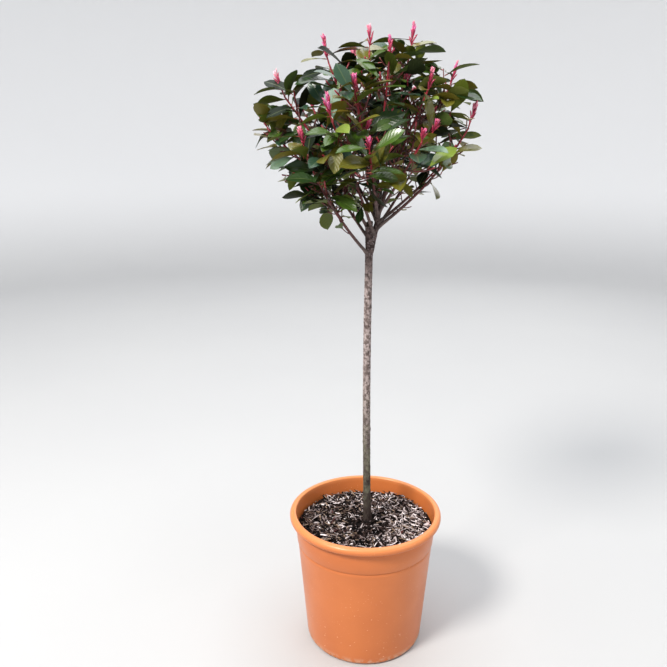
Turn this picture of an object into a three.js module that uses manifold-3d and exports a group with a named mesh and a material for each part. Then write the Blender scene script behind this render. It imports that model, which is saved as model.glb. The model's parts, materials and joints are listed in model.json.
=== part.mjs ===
// A standard photinia: one clear stem with a loose round head of glossy leaves and red young shoots,
// growing in a round plastic pot filled with bark compost.
// Millimetres, +Z up, -Y is the front. The origin is the centre of the pot's flat underside.
import * as THREE from "three";
import { mergeVertices } from "three/addons/utils/BufferGeometryUtils.js";
import Module from "manifold-3d";

const wasm = await Module();
wasm.setup();

// Driving dimensions

const GAP = 0.3;
const UP = new THREE.Vector3(0, 0, 1);
const GOLDEN_ANGLE = THREE.MathUtils.degToRad(137.5);

const POT = {
  height: 241,
  baseRadius: 102.5,
  topRadius: 122.8,
  wall: 2,
  floor: 3,
  floorRound: 8,
  footRound: 7.5,
  collarBottom: 189,
  collarStep: 1.2,
  lipRadius: 132,
  lipHeight: 13,
  lipRound: 3.4,
  sides: 40,
  holes: 6,
  holeRadius: 6,
  holeCircle: 78,
  holeSides: 10,
};

const COMPOST = { top: 213, flatRadius: 26, mound: 2.5, rings: 4, waves: [19, 23, 11], phase: 1.3 };

const TRUNK = {
  foot: [4, 6],
  tip: [3, 0, 848],
  leftward: 3.8,
  sway: 1.5,
  footRadius: 9,
  stemRadius: 6.5,
  forkRadius: 6.1,
  tipRadius: 2.6,
  flareHeight: 16,
  sides: 9,
  steps: 30,
};

// At the fork a thinner leader takes over from the old stem, and bows out to the right on its way up.
const LEADER = { from: 692, thinFrom: 722, straightFrom: 838, bow: 12.5, radius: 4.8 };

// The old stem ends just above the fork, in a slanting cut that faces up, left and forward.
const STUB = {
  foot: [0.4, 0, 664],
  top: [-0.2, -0.6, 740],
  footRadius: 5,
  topRadius: 6,
  cutFaces: [-0.3, -0.6, 1],
};

// Every main shoot of the head is one limb. It leaves the trunk at a height, or another bough at a share
// of that bough's length, and ends where the tip stands. It makes the share called out of its reach in
// its first half. The share called bare is the bare bough, and the rest carries leaves and side twigs.
const LIMBS = [
  { name: "top", from: "trunk", at: TRUNK.tip[2], tip: [-3, 0, 992], out: 0.5, bare: 0 },
  { name: "top_front", from: "trunk", at: 812, tip: [23, -42, 972], out: 0.7, bare: 0.24 },
  { name: "top_right", from: "trunk", at: 770, tip: [60, 24, 996], out: 0.42, bare: 0.36 },
  { name: "top_left", from: "trunk", at: 768, tip: [-63, -6, 976], out: 0.4, bare: 0.38 },
  { name: "top_back", from: "trunk", at: 790, tip: [-22, 64, 972], out: 0.6, bare: 0.34 },
  { name: "left_high", from: "trunk", at: 714, tip: [-130, 8, 930], out: 0.34, bare: 0.42 },
  { name: "left_edge", from: "left_high", at: 0.85, tip: [-158, 22, 884], out: 0.6, bare: 0.16 },
  { name: "left_low", from: "trunk", at: 690, tip: [-98, -84, 856], out: 0.66, bare: 0.46 },
  { name: "left_foot", from: "left_low", at: 0.8, tip: [-74, -14, 808], out: 0.5, bare: 0.14 },
  { name: "front_left", from: "trunk", at: 722, tip: [-58, -104, 892], out: 0.42, bare: 0.48 },
  { name: "front_high", from: "trunk", at: 782, tip: [-26, -84, 930], out: 0.55, bare: 0.4 },
  { name: "front_mid", from: "trunk", at: 752, tip: [-7, -132, 850], out: 0.5, bare: 0.56 },
  { name: "front_right", from: "trunk", at: 756, tip: [66, -108, 864], out: 0.5, bare: 0.54 },
  { name: "right_mid", from: "trunk", at: 746, tip: [78, -42, 930], out: 0.34, bare: 0.42 },
  { name: "right_high", from: "right_mid", at: 0.95, tip: [118, 4, 942], out: 0.5, bare: 0.18 },
  { name: "right_far", from: "trunk", at: 732, tip: [146, -16, 884], out: 0.66, bare: 0.48 },
  { name: "right_low", from: "trunk", at: 740, tip: [116, 30, 832], out: 0.55, bare: 0.52 },
  { name: "back_high", from: "trunk", at: 774, tip: [14, 96, 944], out: 0.5, bare: 0.42 },
  { name: "back_left", from: "trunk", at: 744, tip: [-86, 90, 908], out: 0.4, bare: 0.38 },
  { name: "right_back", from: "top_right", at: 0.95, tip: [96, 58, 930], out: 0.6, bare: 0.2 },
  { name: "back_right", from: "trunk", at: 758, tip: [70, 92, 914], out: 0.45, bare: 0.38 },
  { name: "back_mid", from: "trunk", at: 746, tip: [-10, 134, 866], out: 0.56, bare: 0.5 },
  { name: "back_low_left", from: "trunk", at: 708, tip: [-94, 80, 846], out: 0.45, bare: 0.5 },
  { name: "back_low_right", from: "trunk", at: 728, tip: [90, 102, 840], out: 0.5, bare: 0.5 },
];

const LIMB = {
  rootRadius: 2.8,
  tipRadius: 1.3,
  upAtFirst: 0.45,
  taper: 0.8,
  forkShare: 0.85,
  boughSides: 5,
  boughSteps: 4,
  stemSteps: 4,
};

const TWIG = {
  sides: 3,
  spacing: 15,
  first: 5,
  endClear: 26,
  shortest: 26,
  longest: 58,
  rootRadius: 1.35,
  tipRadius: 1.1,
  spread: 56,
  spreadVariation: 8,
  lengthVariation: 0.15,
  lift: 0.3,
  steps: 2,
  shootShare: 0.1,
};

const LEAF = {
  length: 48,
  lengthSpread: 8,
  widthShare: 0.42,
  widest: 0.55,
  rootDepth: 0.45,
  bladeFrom: 5,
  thickness: 0.8,
  arch: 0.22,
  archSpread: 0.1,
  spacing: 8,
  firstOnStem: 5,
  firstOnTwig: 11,
  leanAtRoot: 90,
  leanAtTip: 50,
  leanSpread: 12,
  turnSpread: 0.25,
  facesUp: 0.95,
  level: 0.62,
};

// A young shoot is a slim tuft of folded leaves, which turns up to the light.
const SHOOT = { length: 46, width: 9, thickness: 6, sunk: 2.5, turnsUp: 0.8 };

// Foliage keeps within this reach of its own stem, and no further into a neighbour's side than the overlap.
const SPACE = { reach: 66, overlap: 24, samples: 9 };

// The outline that the leaves of the whole head keep within. It is fuller than an egg above its centre, and
// leaner below it.
const HEAD = {
  centre: [-9, -4, 885],
  halfWidth: 184,
  halfDepth: 183,
  rise: 150,
  fullness: 2.5,
  drop: 183,
  leanness: 1.3,
};

// Every limb has a seed of its own.
const SEED = { first: 101, step: 37 };

const COLOURS = {
  pot: { color: 0xd9743c, roughness: 0.5 },
  compost: { color: 0x4a3f38, roughness: 1 },
  bark: { color: 0x75685d, roughness: 0.9 },
  bough: { color: 0x6b4336, roughness: 0.7 },
  foliage: { color: 0x44602f, roughness: 0.4 },
};

// Shared helpers

const material = (name) => new THREE.MeshStandardMaterial({ name, metalness: 0, ...COLOURS[name] });
const MATERIALS = Object.fromEntries(Object.keys(COLOURS).map((name) => [name, material(name)]));

// A repeatable run of numbers from 0 to 1.
function seededRandom(seed) {
  let state = seed >>> 0;
  return () => {
    state = (state + 0x6d2b79f5) >>> 0;
    let t = Math.imul(state ^ (state >>> 15), state | 1);
    t = (t + Math.imul(t ^ (t >>> 7), t | 61)) ^ t;
    return ((t ^ (t >>> 14)) >>> 0) / 4294967296;
  };
}

// A number between minus and plus the spread.
const spreadBy = (random, spread) => (2 * random() - 1) * spread;

function solidOf(geometry) {
  const bare = geometry.clone();
  bare.deleteAttribute("normal");
  bare.deleteAttribute("uv");
  const merged = mergeVertices(bare, 1e-4);
  return new wasm.Manifold(
    new wasm.Mesh({
      numProp: 3,
      vertProperties: merged.attributes.position.array,
      triVerts: new Uint32Array(merged.index.array),
    }),
  );
}

// The largest body of a solid, without loose scraps.
function mainBody(solid) {
  return solid.decompose().reduce((best, body) => (body.volume() > best.volume() ? body : best));
}

function meshOf(name, solid, look, origin = new THREE.Vector3()) {
  const { numProp, numVert, vertProperties, triVerts } = solid.getMesh();
  const positions = new Float32Array(numVert * 3);
  for (let i = 0; i < numVert; i++) {
    const first = i * numProp;
    positions.set(vertProperties.subarray(first, first + 3), i * 3);
  }
  const geometry = new THREE.BufferGeometry();
  geometry.setAttribute("position", new THREE.BufferAttribute(positions, 3));
  geometry.setIndex(new THREE.BufferAttribute(triVerts, 1));
  geometry.translate(-origin.x, -origin.y, -origin.z);
  geometry.computeVertexNormals();
  const mesh = new THREE.Mesh(geometry, look);
  mesh.name = name;
  mesh.position.copy(origin);
  return mesh;
}

const AXES = [new THREE.Vector3(1, 0, 0), new THREE.Vector3(0, 1, 0), new THREE.Vector3(0, 0, 1)];

// The world axis that a direction leans on least.
const offAxis = (direction) =>
  AXES.reduce((best, axis) => (Math.abs(axis.dot(direction)) < Math.abs(best.dot(direction)) ? axis : best));

// Two directions square to a third.
function crossFrame(direction, reference = offAxis(direction)) {
  const first = new THREE.Vector3().crossVectors(direction, reference).normalize();
  const second = new THREE.Vector3().crossVectors(direction, first).normalize();
  return [first, second];
}

// A direction that leans from an axis by an angle, towards a turn round it.
function leaning(axis, lean, turn) {
  const [first, second] = crossFrame(axis);
  const outward = first.multiplyScalar(Math.cos(turn)).addScaledVector(second, Math.sin(turn));
  return axis.clone().multiplyScalar(Math.cos(lean)).addScaledVector(outward, Math.sin(lean)).normalize();
}

// A closed rod along a curve, made from an open cylinder whose rings are moved onto the curve.
function rodGeometry(curve, radiusAt, sides, steps, from = 0, to = 1) {
  const geometry = new THREE.CylinderGeometry(1, 1, 1, sides, steps, true);
  const position = geometry.attributes.position;
  const reference = offAxis(curve.getPoint(to).sub(curve.getPoint(from)).normalize());
  for (let i = 0; i < position.count; i++) {
    const t = from + (to - from) * (position.getY(i) + 0.5);
    const [first, second] = crossFrame(curve.getTangent(t), reference);
    const point = curve.getPoint(t);
    point.addScaledVector(first, position.getX(i) * radiusAt(t));
    point.addScaledVector(second, -position.getZ(i) * radiusAt(t));
    position.setXYZ(i, point.x, point.y, point.z);
  }
  const faces = [...geometry.index.array];
  const lastRing = steps * (sides + 1);
  for (let i = 1; i < sides - 1; i++) faces.push(0, i, i + 1, lastRing, lastRing + i + 1, lastRing + i);
  geometry.setIndex(faces);
  return geometry;
}

// The pot

const wallRadius = (z) => POT.baseRadius + ((POT.topRadius - POT.baseRadius) * z) / POT.height;

// Points on a quarter circle, from one angle in quarter turns to the next.
function quarterRound(x, y, radius, quarter, steps) {
  return Array.from({ length: steps + 1 }, (_, i) => {
    const angle = (quarter + i / steps) * (Math.PI / 2);
    return new THREE.Vector2(x + radius * Math.cos(angle), y + radius * Math.sin(angle));
  });
}

function potProfile() {
  const { height, wall, floor, floorRound, footRound, collarBottom, collarStep } = POT;
  const { lipRadius, lipHeight, lipRound } = POT;
  const lipBottom = height - lipHeight;
  const inside = wallRadius(height) - wall;
  return [
    new THREE.Vector2(0, 0),
    ...quarterRound(wallRadius(footRound) - footRound, footRound, footRound, -1, 3),
    new THREE.Vector2(wallRadius(collarBottom), collarBottom),
    new THREE.Vector2(wallRadius(collarBottom) + collarStep, collarBottom + collarStep),
    new THREE.Vector2(wallRadius(lipBottom) + collarStep, lipBottom),
    ...quarterRound(lipRadius - lipRound, lipBottom + lipRound, lipRound, -1, 2),
    ...quarterRound(lipRadius - lipRound, height - lipRound, lipRound, 0, 2),
    ...quarterRound(inside + lipRound, height - lipRound, lipRound, 1, 2),
    new THREE.Vector2(wallRadius(floor + floorRound) - wall, floor + floorRound),
    new THREE.Vector2(wallRadius(floor) - wall - floorRound, floor),
    new THREE.Vector2(0, floor),
  ];
}

function potMesh() {
  const { holes, holeRadius, holeCircle, holeSides, floor, sides } = POT;
  let pot = solidOf(new THREE.LatheGeometry(potProfile(), sides).rotateX(Math.PI / 2));
  for (let i = 0; i < holes; i++) {
    const angle = (i / holes) * 2 * Math.PI;
    const drill = new THREE.CylinderGeometry(holeRadius, holeRadius, 4 * floor, holeSides);
    const hole = drill.rotateX(Math.PI / 2);
    hole.translate(holeCircle * Math.cos(angle), holeCircle * Math.sin(angle), 0);
    pot = pot.subtract(solidOf(hole));
  }
  return meshOf("pot", pot, MATERIALS.pot);
}

// The compost that fills the pot up into its collar, uneven on top except at the stem

function compostHeight(x, y) {
  const { top, mound, waves, phase } = COMPOST;
  const [across, along, slanted] = waves;
  const squareWaves = Math.sin(x / across + phase) * Math.cos(y / along);
  return top + mound * (squareWaves + 0.5 * Math.sin((x + y) / slanted));
}

function compostMesh() {
  const { top, flatRadius, rings } = COMPOST;
  const inside = (z) => wallRadius(z) - POT.wall - GAP;
  const bottom = POT.floor + GAP;
  const edge = inside(top);
  const profile = [
    new THREE.Vector2(0, bottom),
    new THREE.Vector2(inside(bottom) - POT.floorRound, bottom),
    new THREE.Vector2(inside(bottom + POT.floorRound), bottom + POT.floorRound),
    new THREE.Vector2(edge, top),
  ];
  for (let i = 1; i <= rings; i++)
    profile.push(new THREE.Vector2(THREE.MathUtils.lerp(edge, flatRadius, i / rings), top));
  profile.push(new THREE.Vector2(0, top));
  const geometry = new THREE.LatheGeometry(profile, POT.sides).rotateX(Math.PI / 2);
  const position = geometry.attributes.position;
  for (let i = 0; i < position.count; i++) {
    const [x, y] = [position.getX(i), position.getY(i)];
    const radius = Math.hypot(x, y);
    if (position.getZ(i) < top - GAP || radius < flatRadius + GAP || radius > edge - GAP) continue;
    position.setZ(i, compostHeight(x, y));
  }
  return meshOf("compost", solidOf(geometry), MATERIALS.compost);
}

// The trunk: its line sways a little to the left on the way up, and then bows out to the right in the leader

const TRUNK_FOOT = new THREE.Vector3(...TRUNK.foot, COMPOST.top + GAP);
const TRUNK_TIP = new THREE.Vector3(...TRUNK.tip);

class TrunkCurve extends THREE.Curve {
  getPoint(share, target = new THREE.Vector3()) {
    target.lerpVectors(TRUNK_FOOT, TRUNK_TIP, share);
    const bowed = THREE.MathUtils.clamp((target.z - LEADER.from) / (LEADER.straightFrom - LEADER.from), 0, 1);
    target.x += LEADER.bow * Math.sin(Math.PI * bowed) - TRUNK.leftward * Math.sin(Math.PI * share);
    target.y += TRUNK.sway * Math.sin(2 * Math.PI * share);
    return target;
  }
}

const trunkPath = new TrunkCurve();

// The point of the trunk's middle line at a height above the ground.
const trunkPoint = (height) => trunkPath.getPoint((height - TRUNK_FOOT.z) / (TRUNK_TIP.z - TRUNK_FOOT.z));

function trunkRadius(height) {
  const { footRadius, stemRadius, forkRadius, tipRadius, flareHeight } = TRUNK;
  const flare = (footRadius - stemRadius) * Math.exp(-(height - COMPOST.top) / flareHeight);
  const stem = THREE.MathUtils.mapLinear(height, COMPOST.top, LEADER.from, stemRadius, forkRadius) + flare;
  const leader = THREE.MathUtils.mapLinear(height, LEADER.from, TRUNK.tip[2], LEADER.radius, tipRadius);
  return THREE.MathUtils.lerp(stem, leader, THREE.MathUtils.smoothstep(height, LEADER.from, LEADER.thinFrom));
}

// The cut end of the old stem, which starts inside the trunk.
function stubSolid(clearance) {
  const cut = new THREE.Vector3(...STUB.top);
  const beyondCut = cut.clone().addScaledVector(UP, STUB.topRadius + clearance);
  const axis = new THREE.LineCurve3(new THREE.Vector3(...STUB.foot), beyondCut);
  const radiusAt = (t) => THREE.MathUtils.lerp(STUB.footRadius, STUB.topRadius, t) + clearance;
  const kept = new THREE.Vector3(...STUB.cutFaces).normalize().negate();
  const rod = solidOf(rodGeometry(axis, radiusAt, TRUNK.sides, 1));
  return rod.trimByPlane(kept.toArray(), kept.dot(cut) - clearance);
}

// The trunk, or one that is thicker all round by a clearance, cut level at the compost.
function trunkSolid(clearance = 0) {
  const radiusAt = (t) => trunkRadius(trunkPath.getPoint(t).z) + clearance;
  const trunk = rodGeometry(trunkPath, radiusAt, TRUNK.sides, TRUNK.steps);
  const position = trunk.attributes.position;
  for (let i = 0; i < position.count; i++)
    if (position.getZ(i) < COMPOST.top + TRUNK.footRadius) position.setZ(i, COMPOST.top + GAP);
  return solidOf(trunk).add(stubSolid(clearance));
}

// Limbs

// A limb makes part of its reach and its rise in its first half, and the rest towards its tip.
function limbCurve(root, tip, out) {
  const control = new THREE.Vector3(
    THREE.MathUtils.lerp(root.x, tip.x, out),
    THREE.MathUtils.lerp(root.y, tip.y, out),
    THREE.MathUtils.lerp(root.z, tip.z, LIMB.upAtFirst),
  );
  return new THREE.QuadraticBezierCurve3(root, control, tip);
}

const limbRadius = (limb, t) => THREE.MathUtils.lerp(limb.rootRadius, LIMB.tipRadius, t ** LIMB.taper);

function layOutLimbs() {
  const limbs = new Map();
  LIMBS.forEach((row, index) => {
    const tip = new THREE.Vector3(...row.tip);
    const parent = limbs.get(row.from);
    const root = parent ? parent.curve.getPoint(row.at * parent.bare) : trunkPoint(row.at);
    const rootRadius = parent ? limbRadius(parent, row.at * parent.bare) * LIMB.forkShare : LIMB.rootRadius;
    const curve = limbCurve(root, tip, row.out);
    limbs.set(row.name, { ...row, index, root, curve, rootRadius, length: curve.getLength() });
  });
  return limbs;
}

const limbs = layOutLimbs();

// A bough, or one that is thicker and longer by a clearance.
function boughRod(limb, clearance = 0) {
  const radiusAt = (t) => limbRadius(limb, t) + clearance;
  const end = limb.bare + clearance / limb.length;
  return solidOf(rodGeometry(limb.curve, radiusAt, LIMB.boughSides, LIMB.boughSteps, 0, end));
}

const forkedLimbs = [...limbs.values()].filter((limb) => limb.bare);

// A solid cut clear of the trunk and of every bough that passes the test.
function cutClear(solid, test) {
  let cut = solid.subtract(trunkSolid(GAP));
  for (const limb of forkedLimbs.filter(test)) cut = cut.subtract(boughRod(limb, GAP));
  return mainBody(cut);
}

// Each bough is cut clear of the trunk and of the boughs before it.
const boughSolid = (limb) => cutClear(boughRod(limb), (other) => other.index < limb.index);

// Leaves

// A thin arching leaf of eight faces. Its root is a short upright edge inside the twig.
function leafGeometry(leaf, clearance = 0) {
  const { root, direction, up, length, width, arch } = leaf;
  const side = new THREE.Vector3().crossVectors(up, direction).normalize();
  const top = new THREE.Vector3().crossVectors(direction, side).normalize();
  const half = leaf.thickness / 2 + clearance;
  const corner = (along, across, above) =>
    root
      .clone()
      .addScaledVector(direction, along * length)
      .addScaledVector(side, across * (width / 2 + clearance))
      .addScaledVector(top, above - arch * length * along * along);
  const [rootTop, rootBottom, left, right, tip, keel] = [0, 1, 2, 3, 4, 5];
  const geometry = new THREE.BufferGeometry().setFromPoints([
    corner(0, 0, LEAF.rootDepth + clearance),
    corner(0, 0, -LEAF.rootDepth - clearance),
    corner(LEAF.widest, 1, half),
    corner(LEAF.widest, -1, half),
    corner(1 + clearance / length, 0, 0),
    corner(LEAF.widest, 0, -half),
  ]);
  const topFaces = [rootTop, right, left, tip, left, right];
  const underFaces = [rootBottom, left, keel, rootBottom, keel, right, keel, left, tip, keel, tip, right];
  const rootFaces = [rootTop, left, rootBottom, rootTop, rootBottom, right];
  geometry.setIndex([...topFaces, ...underFaces, ...rootFaces]);
  return geometry;
}

// Leaves stand round a twig in a spiral. They lean out most at its foot, and turn level and face the light.
function leavesOn(twig, random) {
  const leaves = [];
  let turn = random() * 2 * Math.PI;
  for (let along = twig.firstLeaf; along < twig.length - 2; along += LEAF.spacing) {
    const t = along / twig.length;
    const tangent = twig.curve.getTangent(t);
    turn += GOLDEN_ANGLE + spreadBy(random, LEAF.turnSpread);
    const lean = THREE.MathUtils.lerp(LEAF.leanAtRoot, LEAF.leanAtTip, t) + spreadBy(random, LEAF.leanSpread);
    const length = LEAF.length + spreadBy(random, LEAF.lengthSpread);
    const direction = leaning(tangent, THREE.MathUtils.degToRad(lean), turn);
    direction.z *= LEAF.level;
    leaves.push({
      root: twig.curve.getPoint(t),
      direction: direction.normalize(),
      up: tangent.clone().addScaledVector(UP, LEAF.facesUp).normalize(),
      length,
      width: length * LEAF.widthShare,
      thickness: LEAF.thickness,
      arch: LEAF.arch + spreadBy(random, LEAF.archSpread),
    });
  }
  return leaves;
}

// The shoot on a twig's tip.
function shootOn(twig) {
  const tangent = twig.curve.getTangent(1);
  const direction = tangent.clone().addScaledVector(UP, SHOOT.turnsUp).normalize();
  const root = twig.curve.getPoint(1).addScaledVector(tangent, -SHOOT.sunk);
  return { root, direction, up: new THREE.Vector3(1, 0, 0), ...SHOOT, arch: 0, young: true };
}

// Foliage

// The part of a limb beyond its bare bough, as a curve of its own. The one on the leaning tip of the trunk
// starts a little further off.
function leafyPart(limb) {
  const from = limb.bare + (limb.bare ? GAP : 2 * GAP) / limb.length;
  const share = (t) => from + (1 - from) * t;
  const curve = {
    getPoint: (t) => limb.curve.getPoint(share(t)),
    getTangent: (t) => limb.curve.getTangent(share(t)),
  };
  return {
    curve,
    length: limb.length * (1 - from),
    radiusAt: (t) => limbRadius(limb, share(t)),
    steps: LIMB.stemSteps,
    firstLeaf: LEAF.firstOnStem,
  };
}

// A side twig springs from a stem at a share of its length, and lifts towards the light.
function sideTwig(stem, t, turn, random) {
  const spread = THREE.MathUtils.degToRad(TWIG.spread + spreadBy(random, TWIG.spreadVariation));
  const usualLength = THREE.MathUtils.lerp(TWIG.longest, TWIG.shortest, t);
  const length = usualLength * (1 + spreadBy(random, TWIG.lengthVariation));
  const heading = leaning(stem.curve.getTangent(t), spread, turn);
  const root = stem.curve.getPoint(t);
  const control = root.clone().addScaledVector(heading, length * 0.5);
  const tip = root.clone().addScaledVector(heading, length).addScaledVector(UP, length * TWIG.lift);
  const curve = new THREE.QuadraticBezierCurve3(root, control, tip);
  return {
    curve,
    length: curve.getLength(),
    radiusAt: (s) => THREE.MathUtils.lerp(TWIG.rootRadius, TWIG.tipRadius, s),
    steps: TWIG.steps,
    firstLeaf: LEAF.firstOnTwig,
  };
}

// Everything that a limb would bear: its leafy stem first, then the side twigs in a spiral up it, each with
// its leaves and, where it has one, its shoot. The same seed always gives the same growth.
function growthOf(limb) {
  const random = seededRandom(SEED.first + SEED.step * limb.index);
  const stem = leafyPart(limb);
  const twigs = [stem];
  let turn = random() * 2 * Math.PI;
  for (let along = TWIG.first; along < stem.length - TWIG.endClear; along += TWIG.spacing) {
    turn += GOLDEN_ANGLE;
    twigs.push(sideTwig(stem, along / stem.length, turn, random));
  }
  for (const twig of twigs) {
    twig.leaves = leavesOn(twig, random);
    twig.shoots = random() < TWIG.shootShare || twig === stem ? [shootOn(twig)] : [];
  }
  return twigs;
}

const stemSamples = new Map(
  [...limbs.values()].map((limb) => {
    const share = (i) => THREE.MathUtils.lerp(limb.bare, 1, i / SPACE.samples);
    const points = Array.from({ length: SPACE.samples + 1 }, (_, i) => limb.curve.getPoint(share(i)));
    return [limb.name, points];
  }),
);

const nearest = (point, points) => Math.min(...points.map((other) => other.distanceTo(point)));

function inHead(point) {
  const [x, y, z] = point.toArray().map((value, i) => value - HEAD.centre[i]);
  const across = Math.hypot(x / HEAD.halfWidth, y / HEAD.halfDepth);
  const power = z > 0 ? HEAD.fullness : HEAD.leanness;
  const upright = Math.abs(z) / (z > 0 ? HEAD.rise : HEAD.drop);
  return across ** power + upright ** power < 1;
}

// True where a point lies in the space of a limb's own foliage.
function inSpace(point, limb) {
  if (!inHead(point)) return false;
  const own = nearest(point, stemSamples.get(limb.name));
  if (own > SPACE.reach) return false;
  const others = [...stemSamples].filter(([name]) => name !== limb.name);
  return others.every(([, points]) => nearest(point, points) + SPACE.overlap > own);
}

const leafTip = (leaf) => leaf.root.clone().addScaledVector(leaf.direction, leaf.length);

// The part of a leaf that lies clear of its own twig.
function bladeOf(leaf) {
  const normal = leaf.direction.toArray();
  return solidOf(leafGeometry(leaf)).trimByPlane(normal, leaf.direction.dot(leaf.root) + LEAF.bladeFrom);
}

const meets = (solid, others) => others.some((other) => solid.intersect(other).volume() > 0);

const rodOf = (twig, clearance = 0) =>
  solidOf(rodGeometry(twig.curve, (t) => twig.radiusAt(t) + clearance, TWIG.sides, twig.steps));

function addTwigs(mass, others) {
  for (const twig of mass.sides) {
    if (!inSpace(twig.curve.getPoint(1), mass.limb) || meets(rodOf(twig, GAP), others)) continue;
    mass.solid = mass.solid.add(rodOf(twig));
    mass.twigs.push(twig);
  }
}

function addLeaves(mass, others) {
  for (const leaf of mass.twigs.flatMap((twig) => [...twig.shoots, ...twig.leaves])) {
    if (!leaf.young && !inSpace(leafTip(leaf), mass.limb)) continue;
    if (meets(bladeOf(leaf), [mass.solid]) || meets(solidOf(leafGeometry(leaf, GAP)), others)) continue;
    mass.solid = mass.solid.add(solidOf(leafGeometry(leaf)));
  }
}

// Every mass starts as its stem. All the side twigs come before any leaf, so that no leaf runs through one.
function foliageMasses(limbSolids) {
  const masses = [...limbs.values()].map((limb) => {
    const [stem, ...sides] = growthOf(limb);
    return { limb, sides, twigs: [stem], solid: cutClear(rodOf(stem), (other) => other !== limb) };
  });
  const othersOf = (mass) => {
    const otherMasses = masses.filter((other) => other !== mass);
    return [...limbSolids, ...otherMasses.map(({ solid }) => solid)];
  };
  for (const mass of masses) addTwigs(mass, othersOf(mass));
  for (const mass of masses) addLeaves(mass, othersOf(mass));
  return masses;
}

// The whole plant

const plant = new THREE.Group();
plant.name = "standard_photinia";

const trunk = trunkSolid();
plant.add(potMesh(), compostMesh(), meshOf("trunk", trunk, MATERIALS.bark));

const boughs = new Map(forkedLimbs.map((limb) => [limb, boughSolid(limb)]));
for (const [limb, solid] of boughs)
  plant.add(meshOf(`bough_${limb.name}`, solid, MATERIALS.bough, limb.root));

for (const { limb, solid } of foliageMasses([trunk, ...boughs.values()]))
  plant.add(meshOf(`foliage_${limb.name}`, mainBody(solid), MATERIALS.foliage, limb.root));

export default plant;
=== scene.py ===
import json
import math
from types import SimpleNamespace as Sizes

import bmesh
import bpy
from mathutils import Matrix, Vector, noise
import numpy as np

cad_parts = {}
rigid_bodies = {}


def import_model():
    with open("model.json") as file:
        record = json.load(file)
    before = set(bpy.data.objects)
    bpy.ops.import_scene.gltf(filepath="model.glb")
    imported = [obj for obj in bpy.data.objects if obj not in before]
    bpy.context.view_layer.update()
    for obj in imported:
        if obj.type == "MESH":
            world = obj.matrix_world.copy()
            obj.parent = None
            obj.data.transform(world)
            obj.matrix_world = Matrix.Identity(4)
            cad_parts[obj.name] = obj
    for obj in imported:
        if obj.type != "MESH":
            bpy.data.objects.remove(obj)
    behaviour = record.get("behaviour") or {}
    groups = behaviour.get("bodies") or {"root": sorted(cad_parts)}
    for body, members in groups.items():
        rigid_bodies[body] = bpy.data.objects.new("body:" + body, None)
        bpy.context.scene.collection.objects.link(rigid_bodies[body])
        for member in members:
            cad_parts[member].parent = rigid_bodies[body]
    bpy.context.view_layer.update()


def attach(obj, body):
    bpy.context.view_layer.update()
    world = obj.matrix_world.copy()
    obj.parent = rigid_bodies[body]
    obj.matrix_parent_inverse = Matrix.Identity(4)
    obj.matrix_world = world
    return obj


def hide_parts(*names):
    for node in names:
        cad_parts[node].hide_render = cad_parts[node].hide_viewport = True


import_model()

MM = 0.001
UP = Vector((0, 0, 1))
FULL_TURN = 2 * math.pi
GOLDEN_ANGLE = math.radians(137.5)

# Driving dimensions, the same as the solids have

POT = Sizes(height=241, base_radius=102.5, top_radius=122.8, wall=2, floor=3, floor_round=8, foot_round=7.5,
            collar_bottom=189, collar_step=1.2, lip_radius=132, lip_height=13, holes=6, hole_radius=6,
            hole_circle=78)

COMPOST = Sizes(top=213, mound=2.5, waves=(19, 23, 11), phase=1.3, gap=0.3)

TRUNK = Sizes(foot=(4, 6, 213.3), tip=(3, 0, 848), leftward=3.8, sway=1.5, foot_radius=9, stem_radius=6.5,
              fork_radius=6.1, tip_radius=2.6, flare_height=16)

# At the fork a thinner leader takes over from the old stem, which ends in a slanting cut.
LEADER = Sizes(start=692, thin_from=722, straight_from=838, bow=12.5, radius=4.8)

STUB = Sizes(foot=(0.4, 0, 664), top=(-0.2, -0.6, 740), foot_radius=5, top_radius=6,
             cut_faces=(-0.3, -0.6, 1))

# Name, what it grows from, where on that, its tip, how far out in its first half, and the bare share.
LIMBS = [
    ("top", "trunk", 848, (-3, 0, 992), 0.5, 0),
    ("top_front", "trunk", 812, (23, -42, 972), 0.7, 0.24),
    ("top_right", "trunk", 770, (60, 24, 996), 0.42, 0.36),
    ("top_left", "trunk", 768, (-63, -6, 976), 0.4, 0.38),
    ("top_back", "trunk", 790, (-22, 64, 972), 0.6, 0.34),
    ("left_high", "trunk", 714, (-130, 8, 930), 0.34, 0.42),
    ("left_edge", "left_high", 0.85, (-158, 22, 884), 0.6, 0.16),
    ("left_low", "trunk", 690, (-98, -84, 856), 0.66, 0.46),
    ("left_foot", "left_low", 0.8, (-74, -14, 808), 0.5, 0.14),
    ("front_left", "trunk", 722, (-58, -104, 892), 0.42, 0.48),
    ("front_high", "trunk", 782, (-26, -84, 930), 0.55, 0.4),
    ("front_mid", "trunk", 752, (-7, -132, 850), 0.5, 0.56),
    ("front_right", "trunk", 756, (66, -108, 864), 0.5, 0.54),
    ("right_mid", "trunk", 746, (78, -42, 930), 0.34, 0.42),
    ("right_high", "right_mid", 0.95, (118, 4, 942), 0.5, 0.18),
    ("right_far", "trunk", 732, (146, -16, 884), 0.66, 0.48),
    ("right_low", "trunk", 740, (116, 30, 832), 0.55, 0.52),
    ("back_high", "trunk", 774, (14, 96, 944), 0.5, 0.42),
    ("back_left", "trunk", 744, (-86, 90, 908), 0.4, 0.38),
    ("right_back", "top_right", 0.95, (96, 58, 930), 0.6, 0.2),
    ("back_right", "trunk", 758, (70, 92, 914), 0.45, 0.38),
    ("back_mid", "trunk", 746, (-10, 134, 866), 0.56, 0.5),
    ("back_low_left", "trunk", 708, (-94, 80, 846), 0.45, 0.5),
    ("back_low_right", "trunk", 728, (90, 102, 840), 0.5, 0.5),
]

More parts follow.
